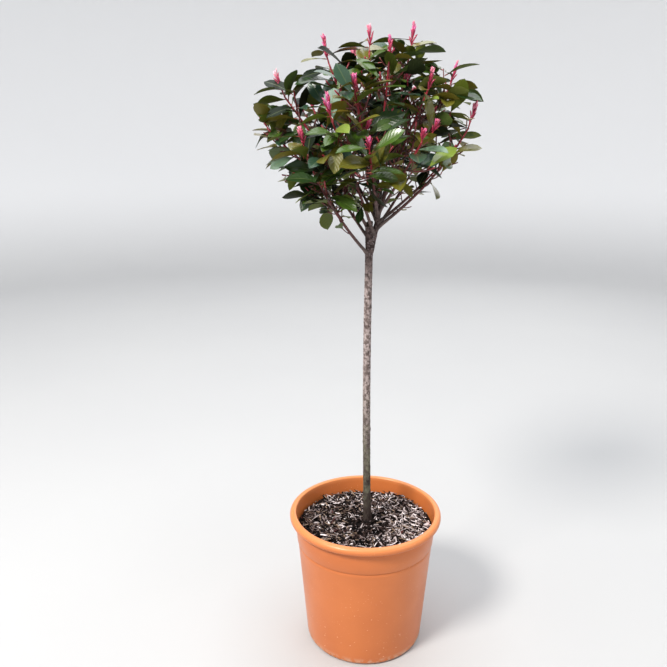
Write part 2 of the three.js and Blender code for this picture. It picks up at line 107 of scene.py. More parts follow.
LIMB = Sizes(root_radius=2.8, tip_radius=1.3, up_at_first=0.45, taper=0.8, fork_share=0.85, gap=0.3)

TWIG = Sizes(spacing=15, first=5, end_clear=26, shortest=26, longest=58, root_radius=1.35, tip_radius=1.1,
             spread=56, spread_variation=8, length_variation=0.15, lift=0.3, shoot_share=0.1)

LEAF = Sizes(length=48, length_spread=8, width_share=0.42, arch=0.22, arch_spread=0.1, spacing=8,
             first_on_stem=5, first_on_twig=11, end_clear=2, lean_at_root=90, lean_at_tip=50, lean_spread=12,
             turn_spread=0.25, faces_up=0.95, level=0.62)

SHOOT = Sizes(length=46, sunk=2.5, turns_up=0.8)

SPACE = Sizes(reach=66, overlap=24, samples=9)

HEAD = Sizes(centre=(-9, -4, 885), half_width=184, half_depth=183, rise=150, fullness=2.5, drop=183,
             leanness=1.3)

# Where the runs of chance start. The first two are the same as in the solids.
SEED = Sizes(first=101, step=37, spurs=707, collars=643, tones=907, blades=311, shoots=515, chips=4021,
             knots=77)

# Sizes of what only this scene has

FOOT = Sizes(hollow=0.8, hollow_radius=88, rest_radius=90)

LIP = Sizes(under_round=4.6, over_round=6.6, inner_round=3)

GROOVE = Sizes(depth=1, height=1.5, edge=0.2, rounding=0.6, below_lip=4)

# How far the moulded lip is out of round, in two waves.
WARP = Sizes(oval=0.004, oval_turn=0.6, wave=0.002, waves=5)

# The leaves that stand round a shoot's foot.
COLLAR = Sizes(places=(0.06, 0.16, 0.27, 0.38), lean=72, leaf_share=0.78)

SPUR = Sizes(first=9, spacing=28, end_clear=6, shortest=12, longest=24, radius=0.8, spread=58, lift=0.35,
             leaf_share=0.85, leaf_spacing=7, first_leaf=6)

SPRIG = Sizes(from_share=0.5, spacing=15, shortest=10, longest=20, first_leaf=8, leaf_share=0.62)

# What a leaf keeps clear of, and the places along it and along a shoot where that is tried.
CLEAR = Sizes(wood=2, wood_start=220, wood_step=6, shoot=9, leaf_places=(0.4, 0.7, 1),
              shoot_places=(0.5, 0.7, 0.9))

# How far forward and back the blades reach, and how open the head stands: the share of leaves gone from its
# middle, and low down on its right.
OPEN = Sizes(front=-158, back=166, middle=0.7, middle_to=0.74, middle_fade=0.3, right=0.35, right_from=12,
             right_under=905)

BLADE = Sizes(rows=(0, 0.07, 0.15, 0.26, 0.39, 0.53, 0.67, 0.8, 0.91, 1),
              columns=(-1, -0.52, -0.07, 0.07, 0.52, 1), under_columns=(-1, 0, 1), rib_half=0.1,
              petiole=0.14, petiole_half=0.75, half_thickness=0.16, widest_power=1.42, fullness=0.74,
              fold=0.42, fold_spread=0.2, flattening=0.35, wave=0.07, ripple=9, twist=18, roll=30,
              bend=0.06, sag=0.7, bare_tip=4, stretch=1.17, broad=1.13)

VEIN = Sizes(slant=0.42, turns=62, strength=0.2, height=0.00025)

TUFT = Sizes(leaves=15, bare=0.16, stem_share=0.74, stem_radius=1.25, stem_tip=0.6, bow=0.05, crowding=0.8,
             low_length=7, high_length=17, past_tip=0.26, width_share=0.27, low_lean=31, high_lean=15,
             lean_spread=6, cool_share=0.3, rose_from=0.42, pink_from=0.78)

LEAFLET = Sizes(rows=(0, 0.2, 0.4, 0.6, 0.8, 1), columns=(-1, 0, 1), fold=0.8, half_thickness=0.22, curl=0.1,
                least_half=0.15, widest_power=1.5, fullness=0.7)

BARK = Sizes(sides=64, ring_height=1.5, start=209, fissure=0.7, fissure_width=0.16, grain=0.3, swell=0.35,
             ring=0.3, ring_spacing=7.5, lobes=3, lobe_depth=1.4, lobe_height=9, tip_fade=60, tip_relief=0.35)

KNOT = Sizes(count=17, first=30, nearest=22, farthest=38, rise=1.1, radius=3.4, smallest=0.6, largest=1.2,
             dent=0.6, dent_narrow=2.6, reach=3)

CUT = Sizes(sides=48, rings=50, insets=(0.1, 0.1, 0.3), callus=0.5, callus_height=2.5, dish=0.9, rim=0.15)

BOUGH = Sizes(sides=18, ring_height=2.4, relief=0.14, collar=1.5, collar_length=9, node=0.16, node_spacing=9,
              young_from=18, young_over=80, sunk=1.5)

BED = Sizes(rings=40, steps=120, lumps=2.2, crumbs=1.2, sunk=2.5)

CHIP = Sizes(count=5200, shortest=4, longest=16, width=2.2, thickness=0.7, pile=7.5, tilt=0.5, bend=0.34,
             twist=0.7, slivers=170, sliver_length=23, sliver_width=1.4, sliver_tilt=0.12, off_pot=4,
             off_stem=2, lumps=2.2, lump_size=13, dark_patch=38, dark_ahead=16, dark_share=0.6, shaded=0.45)

STAGE = Sizes(flat=3600, rim=5600, height=3300, curve_steps=14, steps=96)


# Repeatable chance

MASK = 0xFFFFFFFF


def seeded_random(seed):
    """A repeatable run of numbers from 0 to 1, the same one as the solids use."""
    state = seed & MASK

    def draw():
        nonlocal state
        state = (state + 0x6D2B79F5) & MASK
        t = ((state ^ (state >> 15)) * (state | 1)) & MASK
        t = ((t + (((t ^ (t >> 7)) * (t | 61)) & MASK)) & MASK) ^ t
        return ((t ^ (t >> 14)) & MASK) / 4294967296

    return draw


def spread_by(draw, spread):
    return (2 * draw() - 1) * spread


def between(draw, low, high):
    return low + (high - low) * draw()


def deal(draw, shares):
    """One of the names, drawn by its share."""
    pick = draw() * sum(shares.values())
    for name, share in shares.items():
        pick -= share
        if pick < 0:
            return name
    return name


# Numbers, directions and curves

AXES = (Vector((1, 0, 0)), Vector((0, 1, 0)), Vector((0, 0, 1)))


def mix(low, high, share):
    return low + (high - low) * share


def clamped(value):
    return max(0.0, min(1.0, value))


def smooth_step(value):
    share = clamped(value)
    return share * share * (3 - 2 * share)


def peaks(turns, sharpness):
    """A ridge at every whole turn, from 0 to 1."""
    return max(0, math.cos(turns * FULL_TURN)) ** sharpness


def noise_at(point, across, along=None):
    """Smooth noise whose lumps have a size across, and another along the stem."""
    if along is None:
        return noise.noise(point / across)
    return noise.noise(Vector((point.x / across, point.y / across, point.z / along)))


def off_axis(direction):
    """The world axis that a direction leans on least."""
    return min(AXES, key=lambda axis: abs(axis.dot(direction)))


def cross_frame(direction, reference=None):
    """Two directions square to a third."""
    first = direction.cross(reference or off_axis(direction)).normalized()
    return first, direction.cross(first).normalized()


def leaning(axis, lean, turn):
    """A direction that leans from an axis by an angle, towards a turn round it."""
    first, second = cross_frame(axis)
    outward = first * math.cos(turn) + second * math.sin(turn)
    return (axis * math.cos(lean) + outward * math.sin(lean)).normalized()


class Path:
    """A quadratic curve of three points, or the rest of one from a start."""

    def __init__(self, root, control, tip, start=0.0):
        self.ends = (root, control, tip)
        self.start = start
        places = [self.point(i / 200) for i in range(201)]
        self.length = sum((b - a).length for a, b in zip(places, places[1:]))

    def share(self, t):
        return self.start + (1 - self.start) * t

    def point(self, t):
        root, control, tip = self.ends
        t = self.share(t)
        return root * (1 - t) ** 2 + control * (2 * t * (1 - t)) + tip * t ** 2

    def tangent(self, t):
        root, control, tip = self.ends
        t = self.share(t)
        return ((control - root) * (1 - t) + (tip - control) * t).normalized()


# The trunk and the limbs, laid out as in the solids

TRUNK_FOOT = Vector(TRUNK.foot)
TRUNK_TIP = Vector(TRUNK.tip)


def trunk_point(height):
    share = (height - TRUNK_FOOT.z) / (TRUNK_TIP.z - TRUNK_FOOT.z)
    bowed = clamped((height - LEADER.start) / (LEADER.straight_from - LEADER.start))
    point = TRUNK_FOOT.lerp(TRUNK_TIP, share)
    point.x += LEADER.bow * math.sin(math.pi * bowed) - TRUNK.leftward * math.sin(math.pi * share)
    point.y += TRUNK.sway * math.sin(FULL_TURN * share)
    return point


def trunk_radius(height):
    flare = (TRUNK.foot_radius - TRUNK.stem_radius) * math.exp(-(height - COMPOST.top) / TRUNK.flare_height)
    up_stem = (height - COMPOST.top) / (LEADER.start - COMPOST.top)
    up_leader = (height - LEADER.start) / (TRUNK_TIP.z - LEADER.start)
    stem = mix(TRUNK.stem_radius, TRUNK.fork_radius, up_stem) + flare
    leader = mix(LEADER.radius, TRUNK.tip_radius, up_leader)
    return mix(stem, leader, smooth_step((height - LEADER.start) / (LEADER.thin_from - LEADER.start)))


def limb_radius(limb, t):
    return mix(limb.root_radius, LIMB.tip_radius, t ** LIMB.taper)


def lay_out_limbs():
    limbs = {}
    for index, (name, start, at, tip, out, bare) in enumerate(LIMBS):
        tip = Vector(tip)
        parent = limbs.get(start)
        root = parent.path.point(at * parent.bare) if parent else trunk_point(at)
        root_radius = limb_radius(parent, at * parent.bare) * LIMB.fork_share if parent else LIMB.root_radius
        shares = (out, out, LIMB.up_at_first)
        control = Vector([mix(low, high, share) for low, high, share in zip(root, tip, shares)])
        limbs[name] = Sizes(name=name, index=index, bare=bare, path=Path(root, control, tip),
                            root_radius=root_radius, parent=parent)
    return limbs


limbs = lay_out_limbs()


# Growth: side twigs, spurs, leaves and shoots

def leafy_stem(limb):
    """The part of a limb beyond its bare bough."""
    clear = LIMB.gap if limb.bare else 2 * LIMB.gap
    path = Path(*limb.path.ends, start=limb.bare + clear / limb.path.length)
    return Sizes(kind="stem", limb=limb, path=path, radius=lambda t: limb_radius(limb, path.share(t)),
                 first_leaf=LEAF.first_on_stem, leaf_spacing=LEAF.spacing, leaf_scale=1)


def sprung(kind, limb, path, t, turn, spread, length, lift, **rule):
    """A twig that springs from a path at a share of its length, and lifts towards the light."""
    heading = leaning(path.tangent(t), math.radians(spread), turn)
    root = path.point(t)
    line = Path(root, root + heading * length * 0.5, root + heading * length + UP * length * lift)
    return Sizes(kind=kind, limb=limb, path=line, shoots=[], **rule)


def side_twig(stem, t, turn, draw):
    spread = TWIG.spread + spread_by(draw, TWIG.spread_variation)
    length = mix(TWIG.longest, TWIG.shortest, t) * (1 + spread_by(draw, TWIG.length_variation))
    return sprung("side", stem.limb, stem.path, t, turn, spread, length, TWIG.lift,
                  radius=lambda s: mix(TWIG.root_radius, TWIG.tip_radius, s), first_leaf=LEAF.first_on_twig,
                  leaf_spacing=LEAF.spacing, leaf_scale=1)


def leaf_at(root, axis, lean, turn, length, arch, share=0):
    """A leaf that leans from an axis, turned level and to the light."""
    direction = leaning(axis, math.radians(lean), turn)
    direction.z *= LEAF.level
    return Sizes(root=root, direction=direction.normalized(), up=(axis + UP * LEAF.faces_up).normalized(),
                 length=length, width=length * LEAF.width_share, arch=arch, share=share)


def leaf_length(draw):
    return LEAF.length + spread_by(draw, LEAF.length_spread)


def leaves_on(twig, draw):
    """Leaves stand round a twig in a spiral, and lean out most at its foot."""
    leaves = []
    turn = draw() * FULL_TURN
    along = twig.first_leaf
    while along < twig.path.length - LEAF.end_clear:
        t = along / twig.path.length
        turn += GOLDEN_ANGLE + spread_by(draw, LEAF.turn_spread)
        lean = mix(LEAF.lean_at_root, LEAF.lean_at_tip, t) + spread_by(draw, LEAF.lean_spread)
        length = leaf_length(draw) * twig.leaf_scale
        arch = LEAF.arch + spread_by(draw, LEAF.arch_spread)
        leaves.append(leaf_at(twig.path.point(t), twig.path.tangent(t), lean, turn, length, arch, t))
        along += twig.leaf_spacing
    return leaves


def shoot_on(twig):
    """The shoot on a twig's tip."""
    tangent = twig.path.tangent(1)
    direction = (tangent + UP * SHOOT.turns_up).normalized()
    return Sizes(root=twig.path.point(1) - tangent * SHOOT.sunk, direction=direction)


def collar_leaves(shoot, draw):
    """The leaves round the foot of a shoot, by the rule of the others."""
    leaves = []
    turn = draw() * FULL_TURN
    for place in COLLAR.places:
        turn += GOLDEN_ANGLE
        root = shoot.root + shoot.direction * SHOOT.length * place
        length = leaf_length(draw) * COLLAR.leaf_share
        leaves.append(leaf_at(root, shoot.direction, COLLAR.lean, turn, length, LEAF.arch))
    return leaves


def growth_of(limb):
    """Everything that a limb bears: its leafy stem first, then the side twigs in a spiral up it."""
    draw = seeded_random(SEED.first + SEED.step * limb.index)
    stem = leafy_stem(limb)
    twigs = [stem]
    turn = draw() * FULL_TURN
    along = TWIG.first
    while along < stem.path.length - TWIG.end_clear:
        turn += GOLDEN_ANGLE
        twigs.append(side_twig(stem, along / stem.path.length, turn, draw))
        along += TWIG.spacing
    for twig in twigs:
        twig.leaves = leaves_on(twig, draw)
        bears_shoot = draw() < TWIG.shoot_share or twig is stem
        twig.shoots = [shoot_on(twig)] if bears_shoot else []
    return twigs


def fine_twigs(limb, path, along, end, sizes, draw):
    """Finer twigs with smaller leaves, in a spiral up a path, by the same rule."""
    twigs = []
    turn = draw() * FULL_TURN
    while along < end:
        turn += GOLDEN_ANGLE
        length = between(draw, sizes.shortest, sizes.longest)
        twig = sprung("spur", limb, path, along / path.length, turn, SPUR.spread, length, SPUR.lift,
                      radius=lambda s: SPUR.radius, first_leaf=sizes.first_leaf,
                      leaf_spacing=SPUR.leaf_spacing, leaf_scale=sizes.leaf_share)
        twig.leaves = leaves_on(twig, draw)
        twigs.append(twig)
        along += sizes.spacing
    return twigs


def spurs_of(limb, twigs):
    """The spurs on a limb's twigs, and the sprigs on the upper half of its bare bough."""
    draw = seeded_random(SEED.spurs + SEED.step * limb.index)
    spurs = []
    for twig in twigs:
        spurs += fine_twigs(limb, twig.path, SPUR.first, twig.path.length - SPUR.end_clear, SPUR, draw)
    if limb.bare and not limb.parent:
        end = limb.path.length * limb.bare
        spurs += fine_twigs(limb, limb.path, end * SPRIG.from_share, end, SPRIG, draw)
    return spurs


def stem_samples(limb):
    """Points along a limb's leafy part."""
    shares = [mix(limb.bare, 1, i / SPACE.samples) for i in range(SPACE.samples + 1)]
    return np.array([limb.path.point(t) for t in shares])


STEM_SAMPLES = {limb.name: stem_samples(limb) for limb in limbs.values()}


def from_centre(point):
    return (value - middle for value, middle in zip(point, HEAD.centre))


def in_head(point):
    x, y, z = from_centre(point)
    across = math.hypot(x / HEAD.half_width, y / HEAD.half_depth)
    power = HEAD.fullness if z > 0 else HEAD.leanness
    upright = abs(z) / (HEAD.rise if z > 0 else HEAD.drop)
    return across ** power + upright ** power < 1


def in_space(point, limb):
    """True where a point lies in the space of a limb's own foliage."""
    if not in_head(point):
        return False
    distances = {name: np.linalg.norm(places - point, axis=1).min() for name, places in STEM_SAMPLES.items()}
    own = distances.pop(limb.name)
    return own <= SPACE.reach and min(distances.values()) + SPACE.overlap > own


def wood_samples():
    """Points along the trunk and the boughs, each with its radius."""
    heights = range(CLEAR.wood_start, TRUNK.tip[2], CLEAR.wood_step)
    rows = [(*trunk_point(height), trunk_radius(height)) for height in heights]
    for limb in limbs.values():
        steps = max(2, round(limb.path.length * limb.bare / CLEAR.wood_step))
        for i in range(steps):
            t = limb.bare * i / steps
            rows.append((*limb.path.point(t), limb_radius(limb, t)))
    return np.array(rows)


WOOD = wood_samples()


def leaf_point(leaf, along):
    """A point of the leaf's middle line."""
    drop = leaf.arch * leaf.length * along ** 2
    return leaf.root + leaf.direction * leaf.length * along - UP * drop * BLADE.sag


def stands_clear(leaf, points, radii, room):
    """True for a leaf whose middle line keeps off a row of round points."""
    places = (np.array(leaf_point(leaf, along)) for along in CLEAR.leaf_places)
    return all((np.linalg.norm(points - place, axis=1) - radii).min() > room for place in places)


def stands_open(point, draw):
    """True for a place that is to stay open, as chance has it, in the head's middle and low on its right."""
    x, y, z = from_centre(point)
    outward = math.hypot(x / HEAD.half_width, y / HEAD.half_depth, z / HEAD.rise)
    gone = OPEN.middle * smooth_step((OPEN.middle_to - outward) / OPEN.middle_fade)
    if point.x > OPEN.right_from and point.z < OPEN.right_under:
        gone = max(gone, OPEN.right)
    return draw() < gone


def keeps_its_place(leaf, twig):
    """True for a leaf inside its limb's space, off the wood, and below the bare top that bears the shoot."""
    if twig.shoots and leaf.share * twig.path.length > twig.path.length - BLADE.bare_tip:
        return False
    if not OPEN.front < (leaf.root + leaf.direction * leaf.length * BLADE.stretch).y < OPEN.back:
        return False
    tip = leaf.root + leaf.direction * leaf.length
    return in_space(tip, twig.limb) and stands_clear(leaf, WOOD[:, :3], WOOD[:, 3], CLEAR.wood)


def whole_growth():
    """All the twigs in the head, each with the leaves that keep to their space."""
    grown = []
    for limb in limbs.values():
        stem, *sides = growth_of(limb)
        twigs = [stem] + [twig for twig in sides if in_space(twig.path.point(1), limb)]
        grown += twigs + [spur for spur in spurs_of(limb, twigs) if in_space(spur.path.point(1), limb)]
    shoots = np.array([shoot.root + shoot.direction * SHOOT.length * place
                       for twig in grown for shoot in twig.shoots for place in CLEAR.shoot_places])
    draw = seeded_random(SEED.collars)
    for twig in grown:
        around = [leaf for shoot in twig.shoots if twig.kind == "stem" for leaf in collar_leaves(shoot, draw)]
        twig.leaves = [leaf for leaf in twig.leaves + around
                       if not stands_open(leaf.root + leaf.direction * leaf.length / 2, draw)
                       and keeps_its_place(leaf, twig) and stands_clear(leaf, shoots, 0, CLEAR.shoot)]
    return grown


# Meshes

def mesh_object(name, mesh, materials, smooth=True):
    for material in materials:
        mesh.materials.append(material)
    if smooth:
        mesh.shade_smooth()
    mesh.validate()
    piece = bpy.data.objects.new(name, mesh)
    bpy.context.scene.collection.objects.link(piece)
    return piece


def finished(bm, name, materials):
    """A piece from a bmesh in millimetres."""
    bmesh.ops.scale(bm, vec=(MM, MM, MM), verts=bm.verts)
    mesh = bpy.data.meshes.new(name)
    bm.to_mesh(mesh)
    bm.free()
    return mesh_object(name, mesh, materials)


def joined(name, parts, materials, smooth=True):
    """One mesh of many parts, each (points in millimetres, faces, slots)."""
    faces = []
    slots = []
    first = 0
    for places, part_faces, part_slots in parts:
        faces += [tuple(corner + first for corner in face) for face in part_faces]
        slots += part_slots
        first += len(places)
    mesh = bpy.data.meshes.new(name)
    mesh.from_pydata((np.concatenate([part[0] for part in parts]) * MM).tolist(), [], faces)
    mesh.polygons.foreach_set("material_index", slots)
    return mesh_object(name, mesh, materials, smooth)


def dress(piece, slot, *nodes):
    """The piece rides on the plant and stands for some solids, which it hides; its slot is not used."""
    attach(piece, "root")
    if nodes:
        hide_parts(*nodes)
    return piece


def dress_foliage(name, parts, materials):
    """A joined piece that stands for all the masses of foliage."""
    return dress(joined(name, parts, materials), "foliage", *(f"foliage_{limb}" for limb in limbs))


def as_template(bm):
    """The points, faces and face slots of a small mesh that is used many times."""
    bm.verts.index_update()
    points = np.array([vert.co[:] for vert in bm.verts])
    faces = [tuple(vert.index for vert in face.verts) for face in bm.faces]
    slots = [face.material_index for face in bm.faces]
    bm.free()
    return Sizes(points=points, faces=faces, slots=slots)


def cut_along(bm, axis, cuts):
    """Rings cut across the edges that run along an axis."""
    lengthwise = [edge for edge in bm.edges if abs((edge.verts[0].co - edge.verts[1].co)[axis]) > 0.5]
    bmesh.ops.subdivide_edges(bm, edges=lengthwise, cuts=cuts, use_grid_fill=True)


def unit_tube(sides, steps):
    """A closed tube of radius 1, one unit long from its foot at 0."""
    bm = bmesh.new()
    foot = Matrix.Translation((0, 0, 0.5))
    bmesh.ops.create_cone(bm, cap_ends=True, segments=sides, radius1=1, radius2=1, depth=1, matrix=foot)
    cut_along(bm, 2, steps - 1)
    return bm


def along_path(template, path, radius, start=0.0, end=1.0, relief=None):
    """The points of a unit tube, moved onto a path."""
    reference = off_axis((path.point(end) - path.point(start)).normalized())
    rings = {}
    placed = np.empty_like(template.points)
    for i, (x, y, z) in enumerate(template.points):
        key = round(z, 5)
        if key not in rings:
            t = mix(start, end, z)
            rings[key] = (path.point(t), *cross_frame(path.tangent(t), reference), radius(t))
        middle, first, second, wide = rings[key]
        outward = first * x + second * y
        if relief:
            wide += relief(middle + outward * wide, outward, mix(start, end, z))
        placed[i] = middle + outward * wide
    return placed


def two_skins(rows, *skins):
    """A closed blade of two skins. Each point is (across, along, side), with side 0 on the margin."""
    bm = bmesh.new()
    last_row = len(rows) - 1
    for side, columns in zip((1, -1), skins):
        last = len(columns) - 1
        made = bmesh.ops.create_grid(bm, x_segments=last, y_segments=last_row, size=1)["verts"]
        for vert in made:
            column = round((vert.co.x + 1) / 2 * last)
            row = round((vert.co.y + 1) / 2 * last_row)
            margin = column in (0, last) or row in (0, last_row)
            vert.co = (columns[column], rows[row], 0 if margin else side)
        if side < 0:
            bmesh.ops.reverse_faces(bm, faces=list({face for vert in made for face in vert.link_faces}))
    for end in (0, 1):
        tip = [vert for vert in bm.verts if abs(vert.co.y - end) < 1e-6]
        bmesh.ops.pointmerge(bm, verts=tip, merge_co=(0, end, 0))
    bmesh.ops.remove_doubles(bm, verts=bm.verts, dist=1e-4)
    return bm


def set_blade(x, along, z, root, direction, up):
    """The points of a blade, turned to a direction and to face up, on its root."""
    sideways = up.cross(direction).normalized()
    axes = np.array([sideways, direction, direction.cross(sideways).normalized()])
    return np.stack([x, along, z], axis=1) @ axes + np.array(root)


def spun(profile, steps):
    """A closed shape from a profile of (radius, height) points turned round the upright axis."""
    bm = bmesh.new()
    verts = [bm.verts.new((radius, 0, height)) for radius, height in profile]
    edges = [bm.edges.new(pair) for pair in zip(verts, verts[1:])]
    bmesh.ops.spin(bm, geom=verts + edges, cent=(0, 0, 0), axis=UP, angle=FULL_TURN, steps=steps,
                   use_merge=True)
    bmesh.ops.remove_doubles(bm, verts=bm.verts, dist=1e-3)
    bmesh.ops.recalc_face_normals(bm, faces=bm.faces)
    return bm


# Shader nodes and groups

# Where a Mix node has its two colours and its result.
BELOW, ABOVE, BLENDED = 6, 7, 2


def node(tree, kind, inputs=None, **settings):
    """A node whose inputs are linked to sockets, or set to numbers or colours."""
    made = tree.nodes.new(kind)
    for key, value in settings.items():
        setattr(made, key, value)
    for socket, value in (inputs or {}).items():
        if isinstance(value, bpy.types.NodeSocket):
            tree.links.new(value, made.inputs[socket])
        else:
            made.inputs[socket].default_value = (*value, 1) if isinstance(value, tuple) else value
    return made


def maths(tree, operation, *values):
    return node(tree, "ShaderNodeMath", dict(enumerate(values)), operation=operation).outputs[0]


def ramp(tree, value, low, high):
    """From 0 to 1 while a value goes from low to high, smoothly."""
    inputs = {"Value": value, "From Min": low, "From Max": high}
    return node(tree, "ShaderNodeMapRange", inputs, interpolation_type="SMOOTHSTEP").outputs["Result"]


def new_group(name, **inputs):
    """An empty node group, what its number inputs give, and the piece's own place."""
    group = bpy.data.node_groups.new(name, "ShaderNodeTree")
    for socket, value in inputs.items():
        made = group.interface.new_socket(socket, in_out="INPUT", socket_type="NodeSocketFloat")
        made.default_value = value
    given = node(group, "NodeGroupInput").outputs
    return group, given, node(group, "ShaderNodeTexCoord").outputs["Object"]


def led_out(group, name, kind, socket):
    """The group, with one socket led out of it under a name."""
    group.interface.new_socket(name, in_out="OUTPUT", socket_type=kind)
    node(group, "NodeGroupOutput", {name: socket})
    return group


def patches_group():
    """Cloudy patches from 0 to 1: Size is their number per metre, and a small Edge ends them hard."""
    group, given, place = new_group("cloudy patches", Size=40, Edge=0.1)
    cloud = node(group, "ShaderNodeTexNoise", {"Vector": place, "Scale": given["Size"], "Detail": 4})
    low = maths(group, "SUBTRACT", 0.5, given["Edge"])
    high = maths(group, "ADD", 0.5, given["Edge"])
    return led_out(group, "Mask", "NodeSocketFloat", ramp(group, cloud.outputs["Fac"], low, high))


def specks_group():
    """Small round specks: Size is the number of places per metre, Share how many of them have one."""
    group, given, place = new_group("specks", Size=300, Radius=0.2, Share=0.3)
    cells = node(group, "ShaderNodeTexVoronoi", {"Vector": place, "Scale": given["Size"]})
    inside = maths(group, "LESS_THAN", cells.outputs["Distance"], given["Radius"])
    chance = node(group, "ShaderNodeSeparateColor", {0: cells.outputs["Color"]}).outputs[0]
    stays = maths(group, "LESS_THAN", chance, given["Share"])
    return led_out(group, "Mask", "NodeSocketFloat", maths(group, "MULTIPLY", inside, stays))


def rise_group():
    """A mask that rises from 0 to 1 between two heights, in metres."""
    group, given, place = new_group("rise", From=0, To=1)
    height = node(group, "ShaderNodeSeparateXYZ", {0: place}).outputs["Z"]
    return led_out(group, "Mask", "NodeSocketFloat", ramp(group, height, given["From"], given["To"]))


def grain_group():
    """A fine uneven surface as a normal: Size is its number per metre, Depth in metres."""
    group, given, place = new_group("fine grain", Size=400, Depth=0.0001)
    cloud = node(group, "ShaderNodeTexNoise", {"Vector": place, "Scale": given["Size"], "Detail": 3})
    bump = node(group, "ShaderNodeBump", {"Height": cloud.outputs["Fac"], "Distance": given["Depth"]})
    return led_out(group, "Normal", "NodeSocketVector", bump.outputs["Normal"])


PATCHES = patches_group()
SPECKS = specks_group()
RISE = rise_group()
GRAIN = grain_group()


# Materials

MATT = {"Specular_IOR_Level": 0.15}


def new_material(name, colour, roughness, **inputs):
    material = bpy.data.materials.new(name)
    material.use_nodes = True
    material.diffuse_color = (*colour, 1)
    sockets = shader_of(material).inputs
    sockets["Base Color"].default_value = (*colour, 1)
    sockets["Roughness"].default_value = roughness
    for socket, value in inputs.items():
        sockets[socket.replace("_", " ")].default_value = value
    return material


def shader_of(material):
    return material.node_tree.nodes["Principled BSDF"]


def feed(material, name, socket):
    material.node_tree.links.new(socket, shader_of(material).inputs[name])


def effect(material, group, **values):
    """What a group gives in a material, with the material's own values."""
    return node(material.node_tree, "ShaderNodeGroup", values, node_tree=group).outputs[0]


def attribute(material, name):
    return node(material.node_tree, "ShaderNodeAttribute", attribute_name=name).outputs["Fac"]


def overlap(material, first, second):
    """Where both masks are."""
    return maths(material.node_tree, "MULTIPLY", first, second)


def mixed_colour(material, mask, below, above):
    """Colour above laid over what is below by a mask. Each is a colour or a socket."""
    inputs = {"Factor": mask, BELOW: below, ABOVE: above}
    return node(material.node_tree, "ShaderNodeMix", inputs, data_type="RGBA").outputs[BLENDED]


def paint(material, colour, *coats):
    """The base colour: coats laid over one another from below, each a mask and a colour."""
    for mask, above in coats:
        colour = mixed_colour(material, mask, colour, above)
    feed(material, "Base Color", colour)


def roughen(material, size, depth):
    feed(material, "Normal", effect(material, GRAIN, Size=size, Depth=depth))


def plastic_material():
    """Satin orange plastic with faded patches, pale specks and a scuffed foot, and a paler lip top that is a
    painted highlight.
    """
    material = new_material("orange plastic", (0.6, 0.17, 0.045), 0.4, Specular_IOR_Level=0.34,
                            Coat_Weight=0.26, Coat_Roughness=0.24)
    faded = effect(material, PATCHES, Size=9, Edge=0.2)
    # The top of the lip is painted paler and yellower: a painted highlight.
    lip = effect(material, RISE, From=0.231, To=0.24)
    specks = overlap(material, effect(material, SPECKS, Size=330, Radius=0.17, Share=0.16),
                     effect(material, PATCHES, Size=14, Edge=0.12))
    splashes = overlap(material, effect(material, SPECKS, Size=140, Radius=0.12, Share=0.2),
                       effect(material, RISE, From=0.2, To=0.02))
    scuffs = overlap(material, effect(material, PATCHES, Size=120, Edge=0.06),
                     effect(material, RISE, From=0.016, To=0.002))
    paint(material, (0.605, 0.173, 0.045), (faded, (0.55, 0.151, 0.039)), (lip, (0.67, 0.225, 0.07)),
          (specks, (0.78, 0.36, 0.18)), (splashes, (0.85, 0.48, 0.28)), (scuffs, (0.6, 0.36, 0.24)))
    gloss = node(material.node_tree, "ShaderNodeMapRange", {"Value": faded, "To Min": 0.34, "To Max": 0.46})
    feed(material, "Roughness", gloss.outputs["Result"])
    roughen(material, 900, 0.00004)
    return material


def bark_material():
    """Grey scaly bark with pale flecks, dark at the foot and at the fork; low down the stem is painted darker
    as a painted shadow, with greenish weathering, and its hollows are darkened as painted shade.
    """
    material = new_material("stem bark", (0.2, 0.15, 0.14), 0.85, **MATT)
    cloud = effect(material, PATCHES, Size=170, Edge=0.1)
    flecks = effect(material, SPECKS, Size=330, Radius=0.4, Share=0.3)
    green = effect(material, PATCHES, Size=60, Edge=0.1)
    low = effect(material, RISE, From=0.5, To=0.28)
    foot = effect(material, RISE, From=0.29, To=0.215)
    fork = effect(material, RISE, From=0.62, To=0.7)
    scales = overlap(material, effect(material, SPECKS, Size=310, Radius=0.4, Share=0.5), fork)
    scales = overlap(material, scales, effect(material, RISE, From=0.79, To=0.72))
    # Low down the bark is painted darker, a painted shadow, with greenish weathering in patches.
    weathering_and_shadow = mixed_colour(material, green, (0.06, 0.05, 0.042), (0.15, 0.15, 0.105))
    dark = mixed_colour(material, cloud, (0.045, 0.031, 0.029), (0.135, 0.096, 0.091))
    # The last coat darkens the hollows as painted shade.
    paint(material, (0.15, 0.113, 0.104), (cloud, (0.4, 0.33, 0.316)), (flecks, (0.46, 0.39, 0.38)),
          (low, weathering_and_shadow), (foot, (0.045, 0.033, 0.03)), (fork, dark), (scales, (0.2, 0.165, 0.165)),
          (attribute(material, "hollow"), (0.022, 0.013, 0.012)))
    roughen(material, 1400, 0.00014)
    return material


def cut_wood_material():
    """The end of a pruned stem, aged by the weather."""
    material = new_material("old cut", (0.05, 0.03, 0.025), 0.8, **MATT)
    cloud = effect(material, PATCHES, Size=420, Edge=0.1)
    paint(material, (0.02, 0.013, 0.011), (cloud, (0.1, 0.065, 0.05)))
    roughen(material, 1600, 0.0002)
    return material


def bough_material():
    """Brown young bark that reddens towards the leaves."""
    material = new_material("bough bark", (0.1, 0.05, 0.04), 0.62)
    cloud = effect(material, PATCHES, Size=90, Edge=0.15)
    flecks = effect(material, SPECKS, Size=420, Radius=0.3, Share=0.16)
    paint(material, (0.048, 0.031, 0.027), (cloud, (0.115, 0.079, 0.071)),
          (attribute(material, "young"), (0.12, 0.02, 0.02)), (flecks, (0.26, 0.17, 0.15)))
    roughen(material, 1500, 0.00008)
    return material


